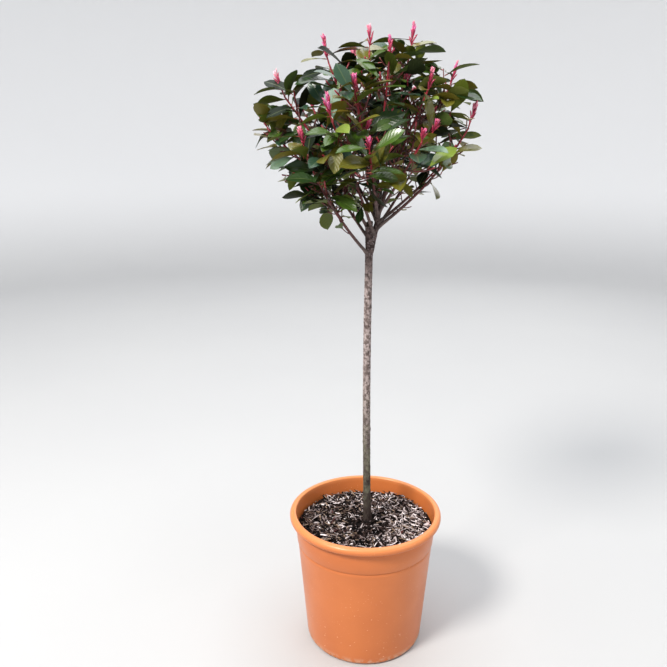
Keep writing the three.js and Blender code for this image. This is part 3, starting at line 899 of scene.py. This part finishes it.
def compost_material():
    material = new_material("compost", (0.01, 0.007, 0.005), 0.95, **MATT)
    cloud = effect(material, PATCHES, Size=160, Edge=0.15)
    paint(material, (0.004, 0.003, 0.002), (cloud, (0.02, 0.013, 0.01)))
    roughen(material, 700, 0.0004)
    return material


def floor_material():
    """A pale floor, painted lighter where it curves up at its far edge: painted light that evens out the
    shade which falls there.
    """
    material = new_material("pale floor", (0.37, 0.37, 0.37), 0.8)
    cloud = effect(material, PATCHES, Size=1.5, Edge=0.4)
    backdrop = effect(material, RISE, From=-0.3, To=0.55)
    paint(material, (0.36, 0.36, 0.365), (cloud, (0.385, 0.385, 0.385)), (backdrop, (0.72, 0.72, 0.73)))
    return material


def leaf_material(name, colour, roughness=0.3, coat=0.42, shine=0.45):
    """A leaf's skin of one plain tone, rippled by its side veins."""
    material = new_material(name, colour, roughness, Coat_Weight=coat, Coat_Roughness=0.17,
                            Specular_IOR_Level=shine)
    tree = material.node_tree
    place = node(tree, "ShaderNodeUVMap", uv_map="blade").outputs["UV"]
    axes = node(tree, "ShaderNodeSeparateXYZ", {0: place}).outputs
    sideways = maths(tree, "ABSOLUTE", maths(tree, "SUBTRACT", axes["X"], 0.5))
    forward = maths(tree, "SUBTRACT", axes["Y"], maths(tree, "MULTIPLY", sideways, VEIN.slant))
    ridge = maths(tree, "SINE", maths(tree, "MULTIPLY", forward, VEIN.turns))
    bump = node(tree, "ShaderNodeBump", {"Height": ridge, "Strength": VEIN.strength, "Distance": VEIN.height})
    feed(material, "Normal", bump.outputs["Normal"])
    return material


def grained(materials, size, depth):
    """Plain materials, each (name, colour, roughness), with the same grain."""
    made = [new_material(*material) for material in materials]
    for material in made:
        roughen(material, size, depth)
    return made


# Pot

def arc(x, z, radius, quarter, steps):
    """Points on a quarter circle, from one angle in quarter turns to the next."""
    turns = [(quarter + i / steps) * math.pi / 2 for i in range(steps + 1)]
    return [(x + radius * math.cos(turn), z + radius * math.sin(turn)) for turn in turns]


def wall_radius(z):
    return POT.base_radius + (POT.top_radius - POT.base_radius) * z / POT.height


def pot_profile():
    """The pot's section from the middle of its underside, over the lip and down inside to the middle."""
    lip_bottom = POT.height - POT.lip_height
    inside = wall_radius(POT.height) - POT.wall
    collar = POT.collar_bottom
    wide = wall_radius(collar)
    under_lip = wall_radius(lip_bottom) + POT.collar_step
    return [
        (0, FOOT.hollow), (FOOT.hollow_radius, FOOT.hollow), (FOOT.rest_radius, 0),
        *arc(wall_radius(POT.foot_round) - POT.foot_round, POT.foot_round, POT.foot_round, -1, 6),
        *((wall_radius(z), z) for z in (60, 120, 180)),
        (wide, collar - 2 * GROOVE.height), (wide - GROOVE.depth, collar - GROOVE.height),
        (wide - GROOVE.depth, collar - GROOVE.edge), (wide + POT.collar_step * 0.8, collar),
        (wide + POT.collar_step, collar + GROOVE.rounding),
        (under_lip, lip_bottom - GROOVE.below_lip),
        (under_lip - GROOVE.depth, lip_bottom - GROOVE.height),
        (under_lip - GROOVE.depth * 0.4, lip_bottom - GROOVE.edge),
        *arc(POT.lip_radius - LIP.under_round, lip_bottom + LIP.under_round, LIP.under_round, -1, 6),
        *arc(POT.lip_radius - LIP.over_round, POT.height - LIP.over_round, LIP.over_round, 0, 8),
        *arc(inside + LIP.inner_round, POT.height - LIP.inner_round, LIP.inner_round, 1, 6),
        (wall_radius(120) - POT.wall, 120),
        (wall_radius(POT.floor + POT.floor_round) - POT.wall, POT.floor + POT.floor_round),
        (wall_radius(POT.floor) - POT.wall - POT.floor_round, POT.floor),
        (0, POT.floor),
    ]


def drainage_cutter():
    bm = bmesh.new()
    for i in range(POT.holes):
        angle = FULL_TURN * i / POT.holes
        place = Matrix.Translation((POT.hole_circle * math.cos(angle), POT.hole_circle * math.sin(angle), 0))
        bmesh.ops.create_cone(bm, cap_ends=True, segments=24, radius1=POT.hole_radius,
                              radius2=POT.hole_radius, depth=4 * POT.floor, matrix=place)
    return finished(bm, "drainage cutter", [])


def make_pot():
    bm = spun(pot_profile(), 144)
    for vert in bm.verts:
        turn = math.atan2(vert.co.y, vert.co.x)
        share = max(0, vert.co.z / POT.height) ** 3
        out = 1 + WARP.oval * share * math.sin(2 * turn + WARP.oval_turn)
        out += WARP.wave * share * math.sin(WARP.waves * turn)
        vert.co.x *= out
        vert.co.y *= out
    pot = finished(bm, "pot_shell", [plastic_material()])
    cutter = drainage_cutter()
    holes = pot.modifiers.new("drainage", "BOOLEAN")
    holes.object = cutter
    holes.operation = "DIFFERENCE"
    bpy.context.view_layer.update()
    pot.data = bpy.data.meshes.new_from_object(pot.evaluated_get(bpy.context.evaluated_depsgraph_get()))
    pot.modifiers.clear()
    bpy.data.objects.remove(cutter)
    dress(pot, "pot", "pot")


# Compost and bark chips

def compost_height(x, y):
    across, along, slanted = COMPOST.waves
    return COMPOST.top + COMPOST.mound * (
        math.sin(x / across + COMPOST.phase) * math.cos(y / along) + 0.5 * math.sin((x + y) / slanted))


def make_compost():
    bottom = POT.floor + COMPOST.gap
    inside = wall_radius(COMPOST.top) - POT.wall - COMPOST.gap
    foot = wall_radius(bottom) - POT.wall - COMPOST.gap
    profile = [(0, bottom), (foot - POT.floor_round, bottom), (foot, bottom + POT.floor_round),
               *((inside * (1 - i / BED.rings), COMPOST.top) for i in range(BED.rings + 1))]
    bm = spun(profile, BED.steps)
    for vert in bm.verts:
        if vert.co.z > COMPOST.top - 1:
            rough = BED.lumps * noise_at(vert.co, 5) + BED.crumbs * noise_at(vert.co, 2)
            vert.co.z = compost_height(vert.co.x, vert.co.y) + rough - BED.sunk
    dress(finished(bm, "compost_bed", [compost_material()]), "compost", "compost")


# Each tone's colour, its share of the chips, and how many times as common it is on the right as on the left,
# where pale tones on the right are painted light and dark ones on the left painted shade.
CHIP_TONES = {
    "black": ((0.003, 0.002, 0.002), 0.3, 0.5),
    "dark_brown": ((0.024, 0.014, 0.012), 0.25, 0.6),
    "brown": ((0.085, 0.054, 0.045), 0.17, 0.7),
    "tan": ((0.24, 0.17, 0.125), 0.08, 0.8),
    "grey": ((0.18, 0.14, 0.137), 0.12, 1.8),
    "pale": ((0.44, 0.37, 0.365), 0.062, 4),
    "bleached": ((0.82, 0.73, 0.73), 0.024, 6),
    "rust": ((0.08, 0.02, 0.02), 0.01, 1),
}


def chip_template():
    """A flake: a bar of three lengths."""
    bm = bmesh.new()
    bmesh.ops.create_cube(bm, size=2)
    cut_along(bm, 0, 2)
    return as_template(bm)


def chip_points(template, draw, length, width, thickness):
    """An uneven, bent and twisted flake, centred on its middle."""
    x, y, z = template.points.T
    bend = spread_by(draw, CHIP.bend)
    twist = spread_by(draw, CHIP.twist)
    narrow = between(draw, 0.25, 0.8)
    widths = 1 - (1 - narrow) * np.abs(x) ** 2 * (1 + 0.4 * np.sign(x) * spread_by(draw, 1))
    side = y * width / 2 * widths + 0.5 * np.sin(3 * x + draw() * 6)
    up = z * thickness / 2
    cosine = np.cos(twist * x)
    sine = np.sin(twist * x)
    rise = side * sine + up * cosine + bend * length * (x ** 2 - 0.4) / 2
    return np.stack([x * length / 2, side * cosine - up * sine, rise], axis=1)


def lying(points, draw, place, tilt):
    """Points turned every way in plan, tilted a little and put down."""
    turn = Matrix.Rotation(draw() * FULL_TURN, 3, "Z")
    pitch = Matrix.Rotation(spread_by(draw, tilt), 3, "Y")
    roll = Matrix.Rotation(spread_by(draw, tilt * 1.5), 3, "X")
    return points @ np.array(turn @ (pitch @ roll)).T + np.array(place)


def chip_tone(draw, across, beside, level):
    """Darker round the stem; paler on the right as painted light, and darker underneath as painted shade."""
    if beside < CHIP.dark_patch and draw() < CHIP.dark_share:
        return "black" if draw() < CHIP.dark_share else "dark_brown"
    shares = {name: share * mix(1, on_right, across) for name, (_, share, on_right) in CHIP_TONES.items()}
    tone = deal(draw, shares)
    # Chips low in the pile take darker tones, as painted shade.
    if level < CHIP.shaded:
        return "dark_brown" if tone in ("pale", "bleached", "tan", "grey") else "black"
    return tone


def chip_sizes(draw, sliver):
    """A chip's length and width, how high it lies in the pile, and how steeply."""
    size = draw() ** 1.8
    if sliver:
        return between(draw, 0.6, 1.2) * CHIP.sliver_length, CHIP.sliver_width, 1, CHIP.sliver_tilt
    width = CHIP.width * between(draw, 0.5, 1.3) * (0.75 + 0.5 * size)
    return mix(CHIP.shortest, CHIP.longest, size), width, draw(), CHIP.tilt


def make_chips():
    template = chip_template()
    draw = seeded_random(SEED.chips)
    parts = {name: [] for name in CHIP_TONES}
    edge = wall_radius(COMPOST.top) - POT.wall - CHIP.off_pot
    stem = trunk_point(COMPOST.top)
    for i in range(CHIP.count + CHIP.slivers):
        distance = edge * math.sqrt(draw())
        angle = draw() * FULL_TURN
        x = distance * math.cos(angle)
        y = distance * math.sin(angle)
        length, width, level, tilt = chip_sizes(draw, i >= CHIP.count)
        in_stem = math.hypot(x - stem.x, y - stem.y) < TRUNK.foot_radius + CHIP.off_stem
        if in_stem or math.hypot(x, y) + length / 2 > edge + 2:
            continue
        beside = math.hypot(x - stem.x, y - stem.y + CHIP.dark_ahead)
        tone = chip_tone(draw, (x / edge + 1) / 2, beside, level)
        points = chip_points(template, draw, length, width, CHIP.thickness * between(draw, 0.7, 1.8))
        lumps = CHIP.lumps * noise_at(Vector((x, y, 0)), CHIP.lump_size)
        z = compost_height(x, y) + level * CHIP.pile - BED.sunk + lumps
        parts[tone].append((lying(points, draw, (x, y, z), tilt), template.faces, template.slots))
    for tone, (colour, *_) in CHIP_TONES.items():
        material = new_material(f"bark chips {tone.replace('_', ' ')}", colour, 0.9, **MATT)
        roughen(material, 900, 0.0003)
        dress(joined(f"bark_chips_{tone}", parts[tone], [material], smooth=False), "compost")


# Trunk and boughs

def lay_out_knots():
    """Scars of shoots that were rubbed off, in a spiral up the stem."""
    draw = seeded_random(SEED.knots)
    height = COMPOST.top + KNOT.first
    knots = []
    for i in range(KNOT.count):
        turn = i * GOLDEN_ANGLE
        outward = Vector((math.cos(turn), math.sin(turn), 0))
        place = trunk_point(height) + outward * trunk_radius(height)
        knots.append((place, between(draw, KNOT.smallest, KNOT.largest)))
        height += between(draw, KNOT.nearest, KNOT.farthest)
    return knots


KNOTS = lay_out_knots()


def knot_relief(point):
    """How far the knots near a point stand out there, and how much of it is scar."""
    rise = 0
    scar = 0
    for place, size in KNOTS:
        gap = point - place
        if abs(gap.z) > KNOT.reach * KNOT.radius:
            continue
        far = gap.length / (KNOT.radius * size)
        dent = math.exp(-(far * KNOT.dent_narrow) ** 2)
        rise += KNOT.rise * size * (math.exp(-far ** 2) - KNOT.dent * dent)
        scar += dent
    return rise, min(scar, 1)


def bark_relief(point):
    """How far the stem's bark stands out at a point, and how deep in a hollow it is."""
    fissure = max(0, 1 - abs(noise_at(point, 2.2, 13)) / BARK.fissure_width)
    fissure *= clamped(0.5 + 1.6 * noise_at(point, 17))
    grain = noise_at(point, 1.3, 3)
    swell = noise_at(point, 9)
    ring = peaks(point.z / BARK.ring_spacing + 0.8 * noise_at(point, 14), 6)
    ring *= 0.4 + 0.6 * noise_at(point, 21)
    rise, scar = knot_relief(point)
    relief = BARK.grain * grain + BARK.swell * swell + BARK.ring * ring - BARK.fissure * fissure + rise
    return relief, min(1, 0.85 * fissure + 0.8 * scar + 0.25 * max(0, -grain))


class TrunkLine:
    """The trunk's middle line from a little under the compost to its tip."""

    def height(self, t):
        return mix(BARK.start, TRUNK_TIP.z, t)

    def point(self, t):
        return trunk_point(self.height(t))

    def tangent(self, t):
        return (self.point(t + 0.001) - self.point(t - 0.001)).normalized()


def with_attribute(piece, name, values):
    layer = piece.data.attributes.new(name, "FLOAT", "POINT")
    layer.data.foreach_set("value", values)


def trunk_part(hollows):
    line = TrunkLine()
    template = as_template(unit_tube(BARK.sides, round((TRUNK_TIP.z - BARK.start) / BARK.ring_height)))

    def relief(point, outward, t):
        rise, hollow = bark_relief(point)
        hollows.append(hollow)
        height = line.height(t)
        lobe = math.sin(BARK.lobes * math.atan2(outward.y, outward.x) + 1)
        flare = BARK.lobe_depth * math.exp(-(height - COMPOST.top) / BARK.lobe_height) * lobe
        fade = min(1, (TRUNK_TIP.z - height) / BARK.tip_fade + BARK.tip_relief)
        return rise * fade + flare

    def radius(t):
        return trunk_radius(max(line.height(t), COMPOST.top))

    return along_path(template, line, radius, relief=relief), template.faces, template.slots


def stub_template():
    """A closed tube whose upper end has a rim and a dished middle."""
    bm = unit_tube(CUT.sides, CUT.rings)
    end = max(bm.faces, key=lambda face: face.calc_center_median().z)
    for share in CUT.insets:
        bmesh.ops.inset_region(bm, faces=[end], thickness=share)
    for face in bm.faces:
        face.material_index = int(face.calc_center_median().z > 0.999)
    return as_template(bm)


def stub_part(hollows):
    """The cut end of the old stem. Every ring slants as much as the cut does by its share of the height."""
    template = stub_template()
    foot, top, faces = Vector(STUB.foot), Vector(STUB.top), Vector(STUB.cut_faces)
    axis = Path(foot, foot.lerp(top, 0.5), top)

    def relief(point, outward, t):
        rise, hollow = bark_relief(point)
        hollows.append(hollow if t < 0.999 else 0)
        return rise + CUT.callus * math.exp(-((1 - t) * (top.z - foot.z) / CUT.callus_height) ** 2)

    def radius(t):
        return mix(STUB.foot_radius, STUB.top_radius, t)

    x, y, shares = template.points.T
    placed = along_path(template, axis, radius, relief=relief)
    slant = -((placed[:, :2] - np.array(top[:2])) @ np.array(faces[:2])) / faces.z
    placed[:, 2] += shares * slant - CUT.dish * (1 - np.hypot(x, y) > CUT.rim)
    return placed, template.faces, template.slots


def make_trunk():
    hollows = []
    parts = [trunk_part(hollows), stub_part(hollows)]
    trunk = joined("trunk_bark", parts, [bark_material(), cut_wood_material()])
    # The bark's colour darkens these hollows as painted shade.
    with_attribute(trunk, "hollow", hollows)
    dress(trunk, "bark", "trunk")


def bough_part(limb, young):
    rings = max(6, round(limb.path.length * limb.bare / BOUGH.ring_height))
    template = as_template(unit_tube(BOUGH.sides, rings))

    def relief(point, outward, t):
        along = t * limb.path.length
        young.append(0.9 if limb.parent else clamped((along - BOUGH.young_from) / BOUGH.young_over))
        collar = BOUGH.collar * math.exp(-(along / BOUGH.collar_length) ** 2)
        rough = noise_at(point, 2.6) + 0.6 * noise_at(point, 1.2, 3.6)
        return BOUGH.relief * rough + BOUGH.node * peaks(along / BOUGH.node_spacing, 8) + collar

    end = limb.bare + BOUGH.sunk / limb.path.length
    placed = along_path(template, limb.path, lambda t: limb_radius(limb, t), 0, end, relief)
    return placed, template.faces, template.slots


def make_boughs():
    young = []
    bare = [limb for limb in limbs.values() if limb.bare]
    boughs = joined("boughs_bark", [bough_part(limb, young) for limb in bare], [bough_material()])
    with_attribute(boughs, "young", young)
    dress(boughs, "bough", *(f"bough_{limb.name}" for limb in bare))


# Twigs

TWIG_COLOURS = [
    ("brown twig", (0.075, 0.035, 0.028), 0.6),
    ("red-brown twig", (0.12, 0.022, 0.02), 0.5),
    ("red twig", (0.26, 0.016, 0.028), 0.4),
]

# The shares of each kind of twig where red-brown wood begins, and where red does, which no spur reaches.
REDDENS = {"stem": (0.12, 0.45), "side": (0.25, 0.75), "spur": (0.5, 2)}


def make_twigs(growth):
    tubes = {kind: as_template(unit_tube(*counts))
             for kind, counts in {"stem": (10, 24), "side": (8, 10), "spur": (6, 5)}.items()}
    parts = []
    for twig in growth:
        template = tubes[twig.kind]

        def radius(t, twig=twig):
            return twig.radius(t) * (1 + 0.12 * peaks(t * twig.path.length / twig.leaf_spacing, 6))

        red_brown, red = REDDENS[twig.kind]
        middles = [template.points[list(face)].mean(axis=0)[2] for face in template.faces]
        slots = [int(share >= red_brown) + int(share >= red) for share in middles]
        parts.append((along_path(template, twig.path, radius), template.faces, slots))
    dress_foliage("twigs", parts, grained(TWIG_COLOURS, 1500, 0.00008))


# Leaves

# Each tone's upper side, its underside, its share of the leaves, how many times as common it is on the right
# of the head as on the left, and how many times as common at the head's outside as inside. The shade tone is
# painted shade inside and low in the head, and the painted sheen tone is a painted highlight.
LEAF_TONES = {
    "shade_green": ((0.005, 0.012, 0.004), (0.014, 0.02, 0.005), 0.42, 0.6, 0.04),
    "deep_green": ((0.018, 0.045, 0.01), (0.072, 0.096, 0.011), 0.38, 0.6, 0.6),
    # Partly a painted sheen: a dark bluish green that stands for the sky's reflection as well as the leaves'
    # own tone, commoner on the lit left.
    "blue_green": ((0.024, 0.062, 0.033), (0.065, 0.1, 0.022), 0.25, 0.4, 1),
    "mid_green": ((0.046, 0.094, 0.011), (0.09, 0.115, 0.012), 0.22, 1.4, 1.4),
    "olive": ((0.115, 0.108, 0.012), (0.145, 0.122, 0.013), 0.13, 4.6, 1.5),
    # The pale upper side of this tone is a painted sheen, the sky's reflection on glossy leaves, commonest on
    # the lit left and at the outside.
    "silver_green": ((0.11, 0.18, 0.115), (0.075, 0.105, 0.035), 0.03, 0.3, 1.8),
    "lime": ((0.17, 0.24, 0.035), (0.2, 0.23, 0.05), 0.016, 1.3, 2),
    "bronze": ((0.085, 0.036, 0.018), (0.1, 0.045, 0.02), 0.01, 1.4, 1.5),
    "gold": ((0.42, 0.26, 0.02), (0.4, 0.26, 0.03), 0, 1, 1),
}

# Where the head has a leaf of a tone that stands out, and how large it is beside its neighbours.
MARKED_LEAVES = [
    ("bronze", (-54, -4, 1010), 1),
    ("gold", (-50, -128, 906), 0.7),
    ("mid_green", (13, -136, 864), 1),
    # The next two leaves carry a painted sheen.
    ("silver_green", (-59, -89, 914), 1),
    ("silver_green", (-32, -92, 889), 1),
    ("lime", (-40, -118, 892), 1),
    ("olive", (-116, -6, 1000), 1),
    ("olive", (72, -6, 1020), 1),
    ("blue_green", (-77, -40, 760), 1),
    ("deep_green", (-68, -22, 755), 1),
]

TOP_SKIN, RIB, UNDER_SKIN, STALK = range(4)

# The finish of undersides and of leaves in the shade, where the others are glossy.
DULL = {"roughness": 0.55, "coat": 0.05, "shine": 0.22}

RIB_TINT = (0.13, 0.17, 0.05)
RIB_PALENESS = 0.3


def blade_template():
    """A leaf's closed blade, with its stalk, rib and undersides in their own slots."""
    bm = two_skins(BLADE.rows, BLADE.columns, BLADE.under_columns)
    for face in bm.faces:
        middle = face.calc_center_median()
        if middle.y < BLADE.petiole:
            face.material_index = STALK
        elif face.normal.z < 0 or middle.z < 0:
            face.material_index = UNDER_SKIN
        else:
            face.material_index = RIB if abs(middle.x) < BLADE.rib_half else TOP_SKIN
    return as_template(bm)


def outline(along):
    """Half the blade's width as a share of its greatest, from its foot to its tip."""
    blade = np.clip((along - BLADE.petiole) / (1 - BLADE.petiole), 0, 1)
    return np.sin(math.pi * blade ** BLADE.widest_power) ** BLADE.fullness


def leaf_points(template, leaf, draw):
    across, along, side = template.points.T
    length = leaf.length * BLADE.stretch
    stalk_half = BLADE.petiole_half * (along < 0.99) * (along > 0.01)
    x = across * np.maximum(leaf.width / 2 * BLADE.broad * outline(along), stalk_half)
    fold = BLADE.fold + spread_by(draw, BLADE.fold_spread)
    wave = spread_by(draw, BLADE.wave) * leaf.width
    phase = draw() * FULL_TURN
    twist = math.radians(spread_by(draw, BLADE.roll)) + math.radians(spread_by(draw, BLADE.twist)) * along
    bend = spread_by(draw, BLADE.bend) * length
    z = fold * np.abs(x) - BLADE.flattening * fold * x ** 2 / (leaf.width / 2)
    z = (z + wave * np.sin(along * BLADE.ripple + phase) * across ** 2) * (along > BLADE.petiole)
    z += side * np.where(along > BLADE.petiole + 0.02, BLADE.half_thickness, BLADE.petiole_half)
    x, z = x * np.cos(twist) - z * np.sin(twist), x * np.sin(twist) + z * np.cos(twist)
    z -= leaf.arch * length * along ** 2
    return set_blade(x + bend * along ** 2, along * length, z, leaf.root, leaf.direction, leaf.up)


def tone_shares(point):
    """How common each tone is at a place in the head, where the foot of the head counts as shaded."""
    x, y, z = from_centre(point)
    across = clamped((x / HEAD.half_width + 1) / 2)
    outward = clamped(math.hypot(x / HEAD.half_width, y / HEAD.half_depth, z / HEAD.rise))
    outward = smooth_step(1.25 * outward) * (1 - 0.8 * clamped(-z / HEAD.drop))
    return {tone: share * mix(1, on_right, across) * mix(1, outside, outward)
            for tone, (_, _, share, on_right, outside) in LEAF_TONES.items()}


def deal_tones(growth):
    """Half the leaves share their spray's tone, and the marked ones have their own."""
    draw = seeded_random(SEED.tones)
    leaves = []
    for twig in growth:
        spray = deal(draw, tone_shares(twig.path.point(0.6)))
        for leaf in twig.leaves:
            leaf.tone = spray if draw() < 0.5 else deal(draw, tone_shares(leaf.root))
            leaves.append(leaf)
    middles = np.array([leaf.root + leaf.direction * leaf.length / 2 for leaf in leaves])
    for tone, place, size in MARKED_LEAVES:
        leaf = leaves[int(np.linalg.norm(middles - np.array(place), axis=1).argmin())]
        leaf.tone = tone
        leaf.length *= size
        leaf.width *= size


def leaf_skins(tone, stalk):
    """The materials of a leaf's slots."""
    upper, under, *_ = LEAF_TONES[tone]
    words = tone.replace("_", " ")
    rib = [mix(a, b, RIB_PALENESS) for a, b in zip(upper, RIB_TINT)]
    gloss = DULL if tone == "shade_green" else {}
    return [leaf_material(f"{words} leaf", upper, **gloss), new_material(f"{words} rib", rib, 0.4),
            leaf_material(f"{words} underside", under, **DULL), stalk]


def mark_leaf(piece, template):
    """Sharp margins, and the place on its own blade of every corner."""
    mesh = piece.data
    across, along, side = template.points.T
    size = len(template.points)
    ends = np.empty(len(mesh.edges) * 2, dtype=np.int32)
    mesh.edges.foreach_get("vertices", ends)
    on_margin = (side == 0)[ends % size].reshape(-1, 2).all(axis=1)
    mesh.attributes.new("sharp_edge", "BOOLEAN", "EDGE").data.foreach_set("value", on_margin)
    corners = np.empty(len(mesh.loops), dtype=np.int32)
    mesh.loops.foreach_get("vertex_index", corners)
    places = np.stack([across / 2 + 0.5, along], axis=1)
    mesh.uv_layers.new(name="blade").data.foreach_set("uv", places[corners % size].ravel())


def make_leaves(growth):
    template = blade_template()
    deal_tones(growth)
    draw = seeded_random(SEED.blades)
    parts = {tone: [] for tone in LEAF_TONES}
    for twig in growth:
        for leaf in twig.leaves:
            parts[leaf.tone].append((leaf_points(template, leaf, draw), template.faces, template.slots))
    stalk = new_material("leaf stalk", (0.26, 0.05, 0.04), 0.45)
    for tone, placed in parts.items():
        if placed:
            mark_leaf(dress_foliage(f"leaves_{tone}", placed, leaf_skins(tone, stalk)), template)


# Young shoots

# The limbs whose shoot stays small, and how small.
SMALL_SHOOTS = {"front_mid": 0.55, "front_right": 0.5, "front_high": 0.6, "left_edge": 0.6, "left_foot": 0.6,
                "left_low": 0.75, "right_low": 0.6, "back_low_left": 0.7, "back_low_right": 0.7, "side": 0.55}

SHOOT_COLOURS = [
    ("shoot stem", (0.34, 0.018, 0.035), 0.4),
    ("crimson leaflet", (0.42, 0.03, 0.085), 0.38),
    ("rose leaflet", (0.68, 0.17, 0.26), 0.4),
    ("pink leaflet", (0.85, 0.46, 0.53), 0.42),
    ("magenta leaflet", (0.62, 0.12, 0.3), 0.4),
]

# The colours of a shoot's leaflets from its foot to its tip.
STEM_RED, CRIMSON, ROSE, PINK, MAGENTA = range(5)
WARM = (CRIMSON, ROSE, PINK)
COOL = (CRIMSON, MAGENTA, ROSE)


def leaflet_points(template, root, direction, inward, length, width):
    """A leaflet whose folded upper side faces the shoot's middle, and whose tip turns in to it."""
    across, along, side = template.points.T
    swell = np.sin(math.pi * along ** LEAFLET.widest_power) ** LEAFLET.fullness
    x = across * (width / 2 * swell + LEAFLET.least_half)
    z = LEAFLET.fold * np.abs(x) + side * LEAFLET.half_thickness + LEAFLET.curl * length * along ** 2
    return set_blade(x, along * length, z, root, direction, inward)


def shoot_parts(shoot, twig, leaflet, stem, draw):
    """The stem of a young shoot and the leaflets that stand close round it."""
    name = twig.limb.name if twig.kind == "stem" else "side"
    length = SHOOT.length * SMALL_SHOOTS.get(name, 1) * between(draw, 0.95, 1.12)
    tip = shoot.root + shoot.direction * length * TUFT.stem_share
    side = leaning(shoot.direction, math.pi / 2, draw() * 6) * length * TUFT.bow
    path = Path(shoot.root, shoot.root.lerp(tip, 0.5) + side, tip)
    placed = along_path(stem, path, lambda t: mix(TUFT.stem_radius, TUFT.stem_tip, t))
    parts = [(placed, stem.faces, [STEM_RED] * len(stem.faces))]
    turn = draw() * 6
    tones = COOL if draw() < TUFT.cool_share else WARM
    for i in range(TUFT.leaves):
        share = i / (TUFT.leaves - 1)
        t = mix(TUFT.bare, 1, share ** TUFT.crowding)
        turn += GOLDEN_ANGLE
        axis = path.tangent(t)
        lean = mix(TUFT.low_lean, TUFT.high_lean, share) + spread_by(draw, TUFT.lean_spread)
        direction = leaning(axis, math.radians(lean), turn)
        swell = math.sin(math.pi * min(1, share * 0.9 + 0.1) ** 0.9) ** 0.6
        size = mix(TUFT.low_length, TUFT.high_length, swell) * between(draw, 0.8, 1.1)
        size = min(size, (1 - t) * length * TUFT.stem_share + TUFT.past_tip * length)
        points = leaflet_points(leaflet, path.point(t), direction, axis, size, size * TUFT.width_share)
        rosy = share + spread_by(draw, 0.25) > TUFT.rose_from
        palest = share + spread_by(draw, 0.2) > TUFT.pink_from
        parts.append((points, leaflet.faces, [tones[rosy + palest]] * len(leaflet.faces)))
    return parts


def make_shoots(growth):
    leaflet = as_template(two_skins(LEAFLET.rows, LEAFLET.columns, LEAFLET.columns))
    stem = as_template(unit_tube(7, 8))
    draw = seeded_random(SEED.shoots)
    parts = []
    for twig in growth:
        for shoot in twig.shoots:
            parts += shoot_parts(shoot, twig, leaflet, stem, draw)
    dress_foliage("young_shoots", parts, grained(SHOOT_COLOURS, 1200, 0.00006))


# Floor, lights and camera

def make_stage():
    """A floor that curves up all round."""
    profile = [(0, 0)]
    for i in range(STAGE.curve_steps + 1):
        turn = math.pi / 2 * i / STAGE.curve_steps
        profile.append((mix(STAGE.flat, STAGE.rim, math.sin(turn)), STAGE.height * (1 - math.cos(turn))))
    bm = spun(profile, STAGE.steps)
    if sum(face.normal.z for face in bm.faces) < 0:
        bmesh.ops.reverse_faces(bm, faces=bm.faces)
    finished(bm, "floor", [floor_material()])


# Name, place in metres, size, power and colour.
LIGHTS = [
    ("key", (-1.7, -1.7, 2.9), 0.9, 140, (1, 0.96, 0.9)),
    ("overhead", (0.1, 0.5, 4.6), 6, 250, (0.96, 0.98, 1)),
    ("fill", (2.6, -1.9, 1.4), 1.8, 15, (1, 0.97, 0.93)),
    ("back", (0.9, 2.6, 2.2), 2.6, 18, (1, 0.98, 0.95)),
]

LIT_PLACE = Vector((0, 0, 0.7))

SKY = Sizes(colour=(0.9, 0.95, 1), strength=0.3)

CAMERA = Sizes(place=(-0.0558, -1.105, 0.8674), down=15.5, lens=37.78, sensor=36)


def make_lights():
    for name, place, size, power, colour in LIGHTS:
        data = bpy.data.lights.new(name, "AREA")
        data.shape = "DISK"
        data.size = size
        data.energy = power
        data.color = colour
        light = bpy.data.objects.new(name, data)
        light.location = place
        light.rotation_euler = (LIT_PLACE - light.location).to_track_quat("-Z", "Y").to_euler()
        light.visible_camera = False
        bpy.context.scene.collection.objects.link(light)
    world = bpy.data.worlds.new("studio")
    world.use_nodes = True
    sky = world.node_tree.nodes["Background"]
    sky.inputs["Color"].default_value = (*SKY.colour, 1)
    sky.inputs["Strength"].default_value = SKY.strength
    bpy.context.scene.world = world
    bpy.context.scene.view_settings.view_transform = "Standard"


def make_camera():
    data = bpy.data.cameras.new("camera")
    data.lens = CAMERA.lens
    data.sensor_width = CAMERA.sensor
    camera = bpy.data.objects.new("camera", data)
    camera.location = CAMERA.place
    camera.rotation_euler = (math.radians(90 - CAMERA.down), 0, 0)
    bpy.context.scene.collection.objects.link(camera)
    bpy.context.scene.camera = camera


# The whole plant

growth = whole_growth()
make_camera()
make_lights()
make_stage()
make_pot()
make_compost()
make_chips()
make_trunk()
make_boughs()
make_twigs(growth)
make_leaves(growth)
make_shoots(growth)
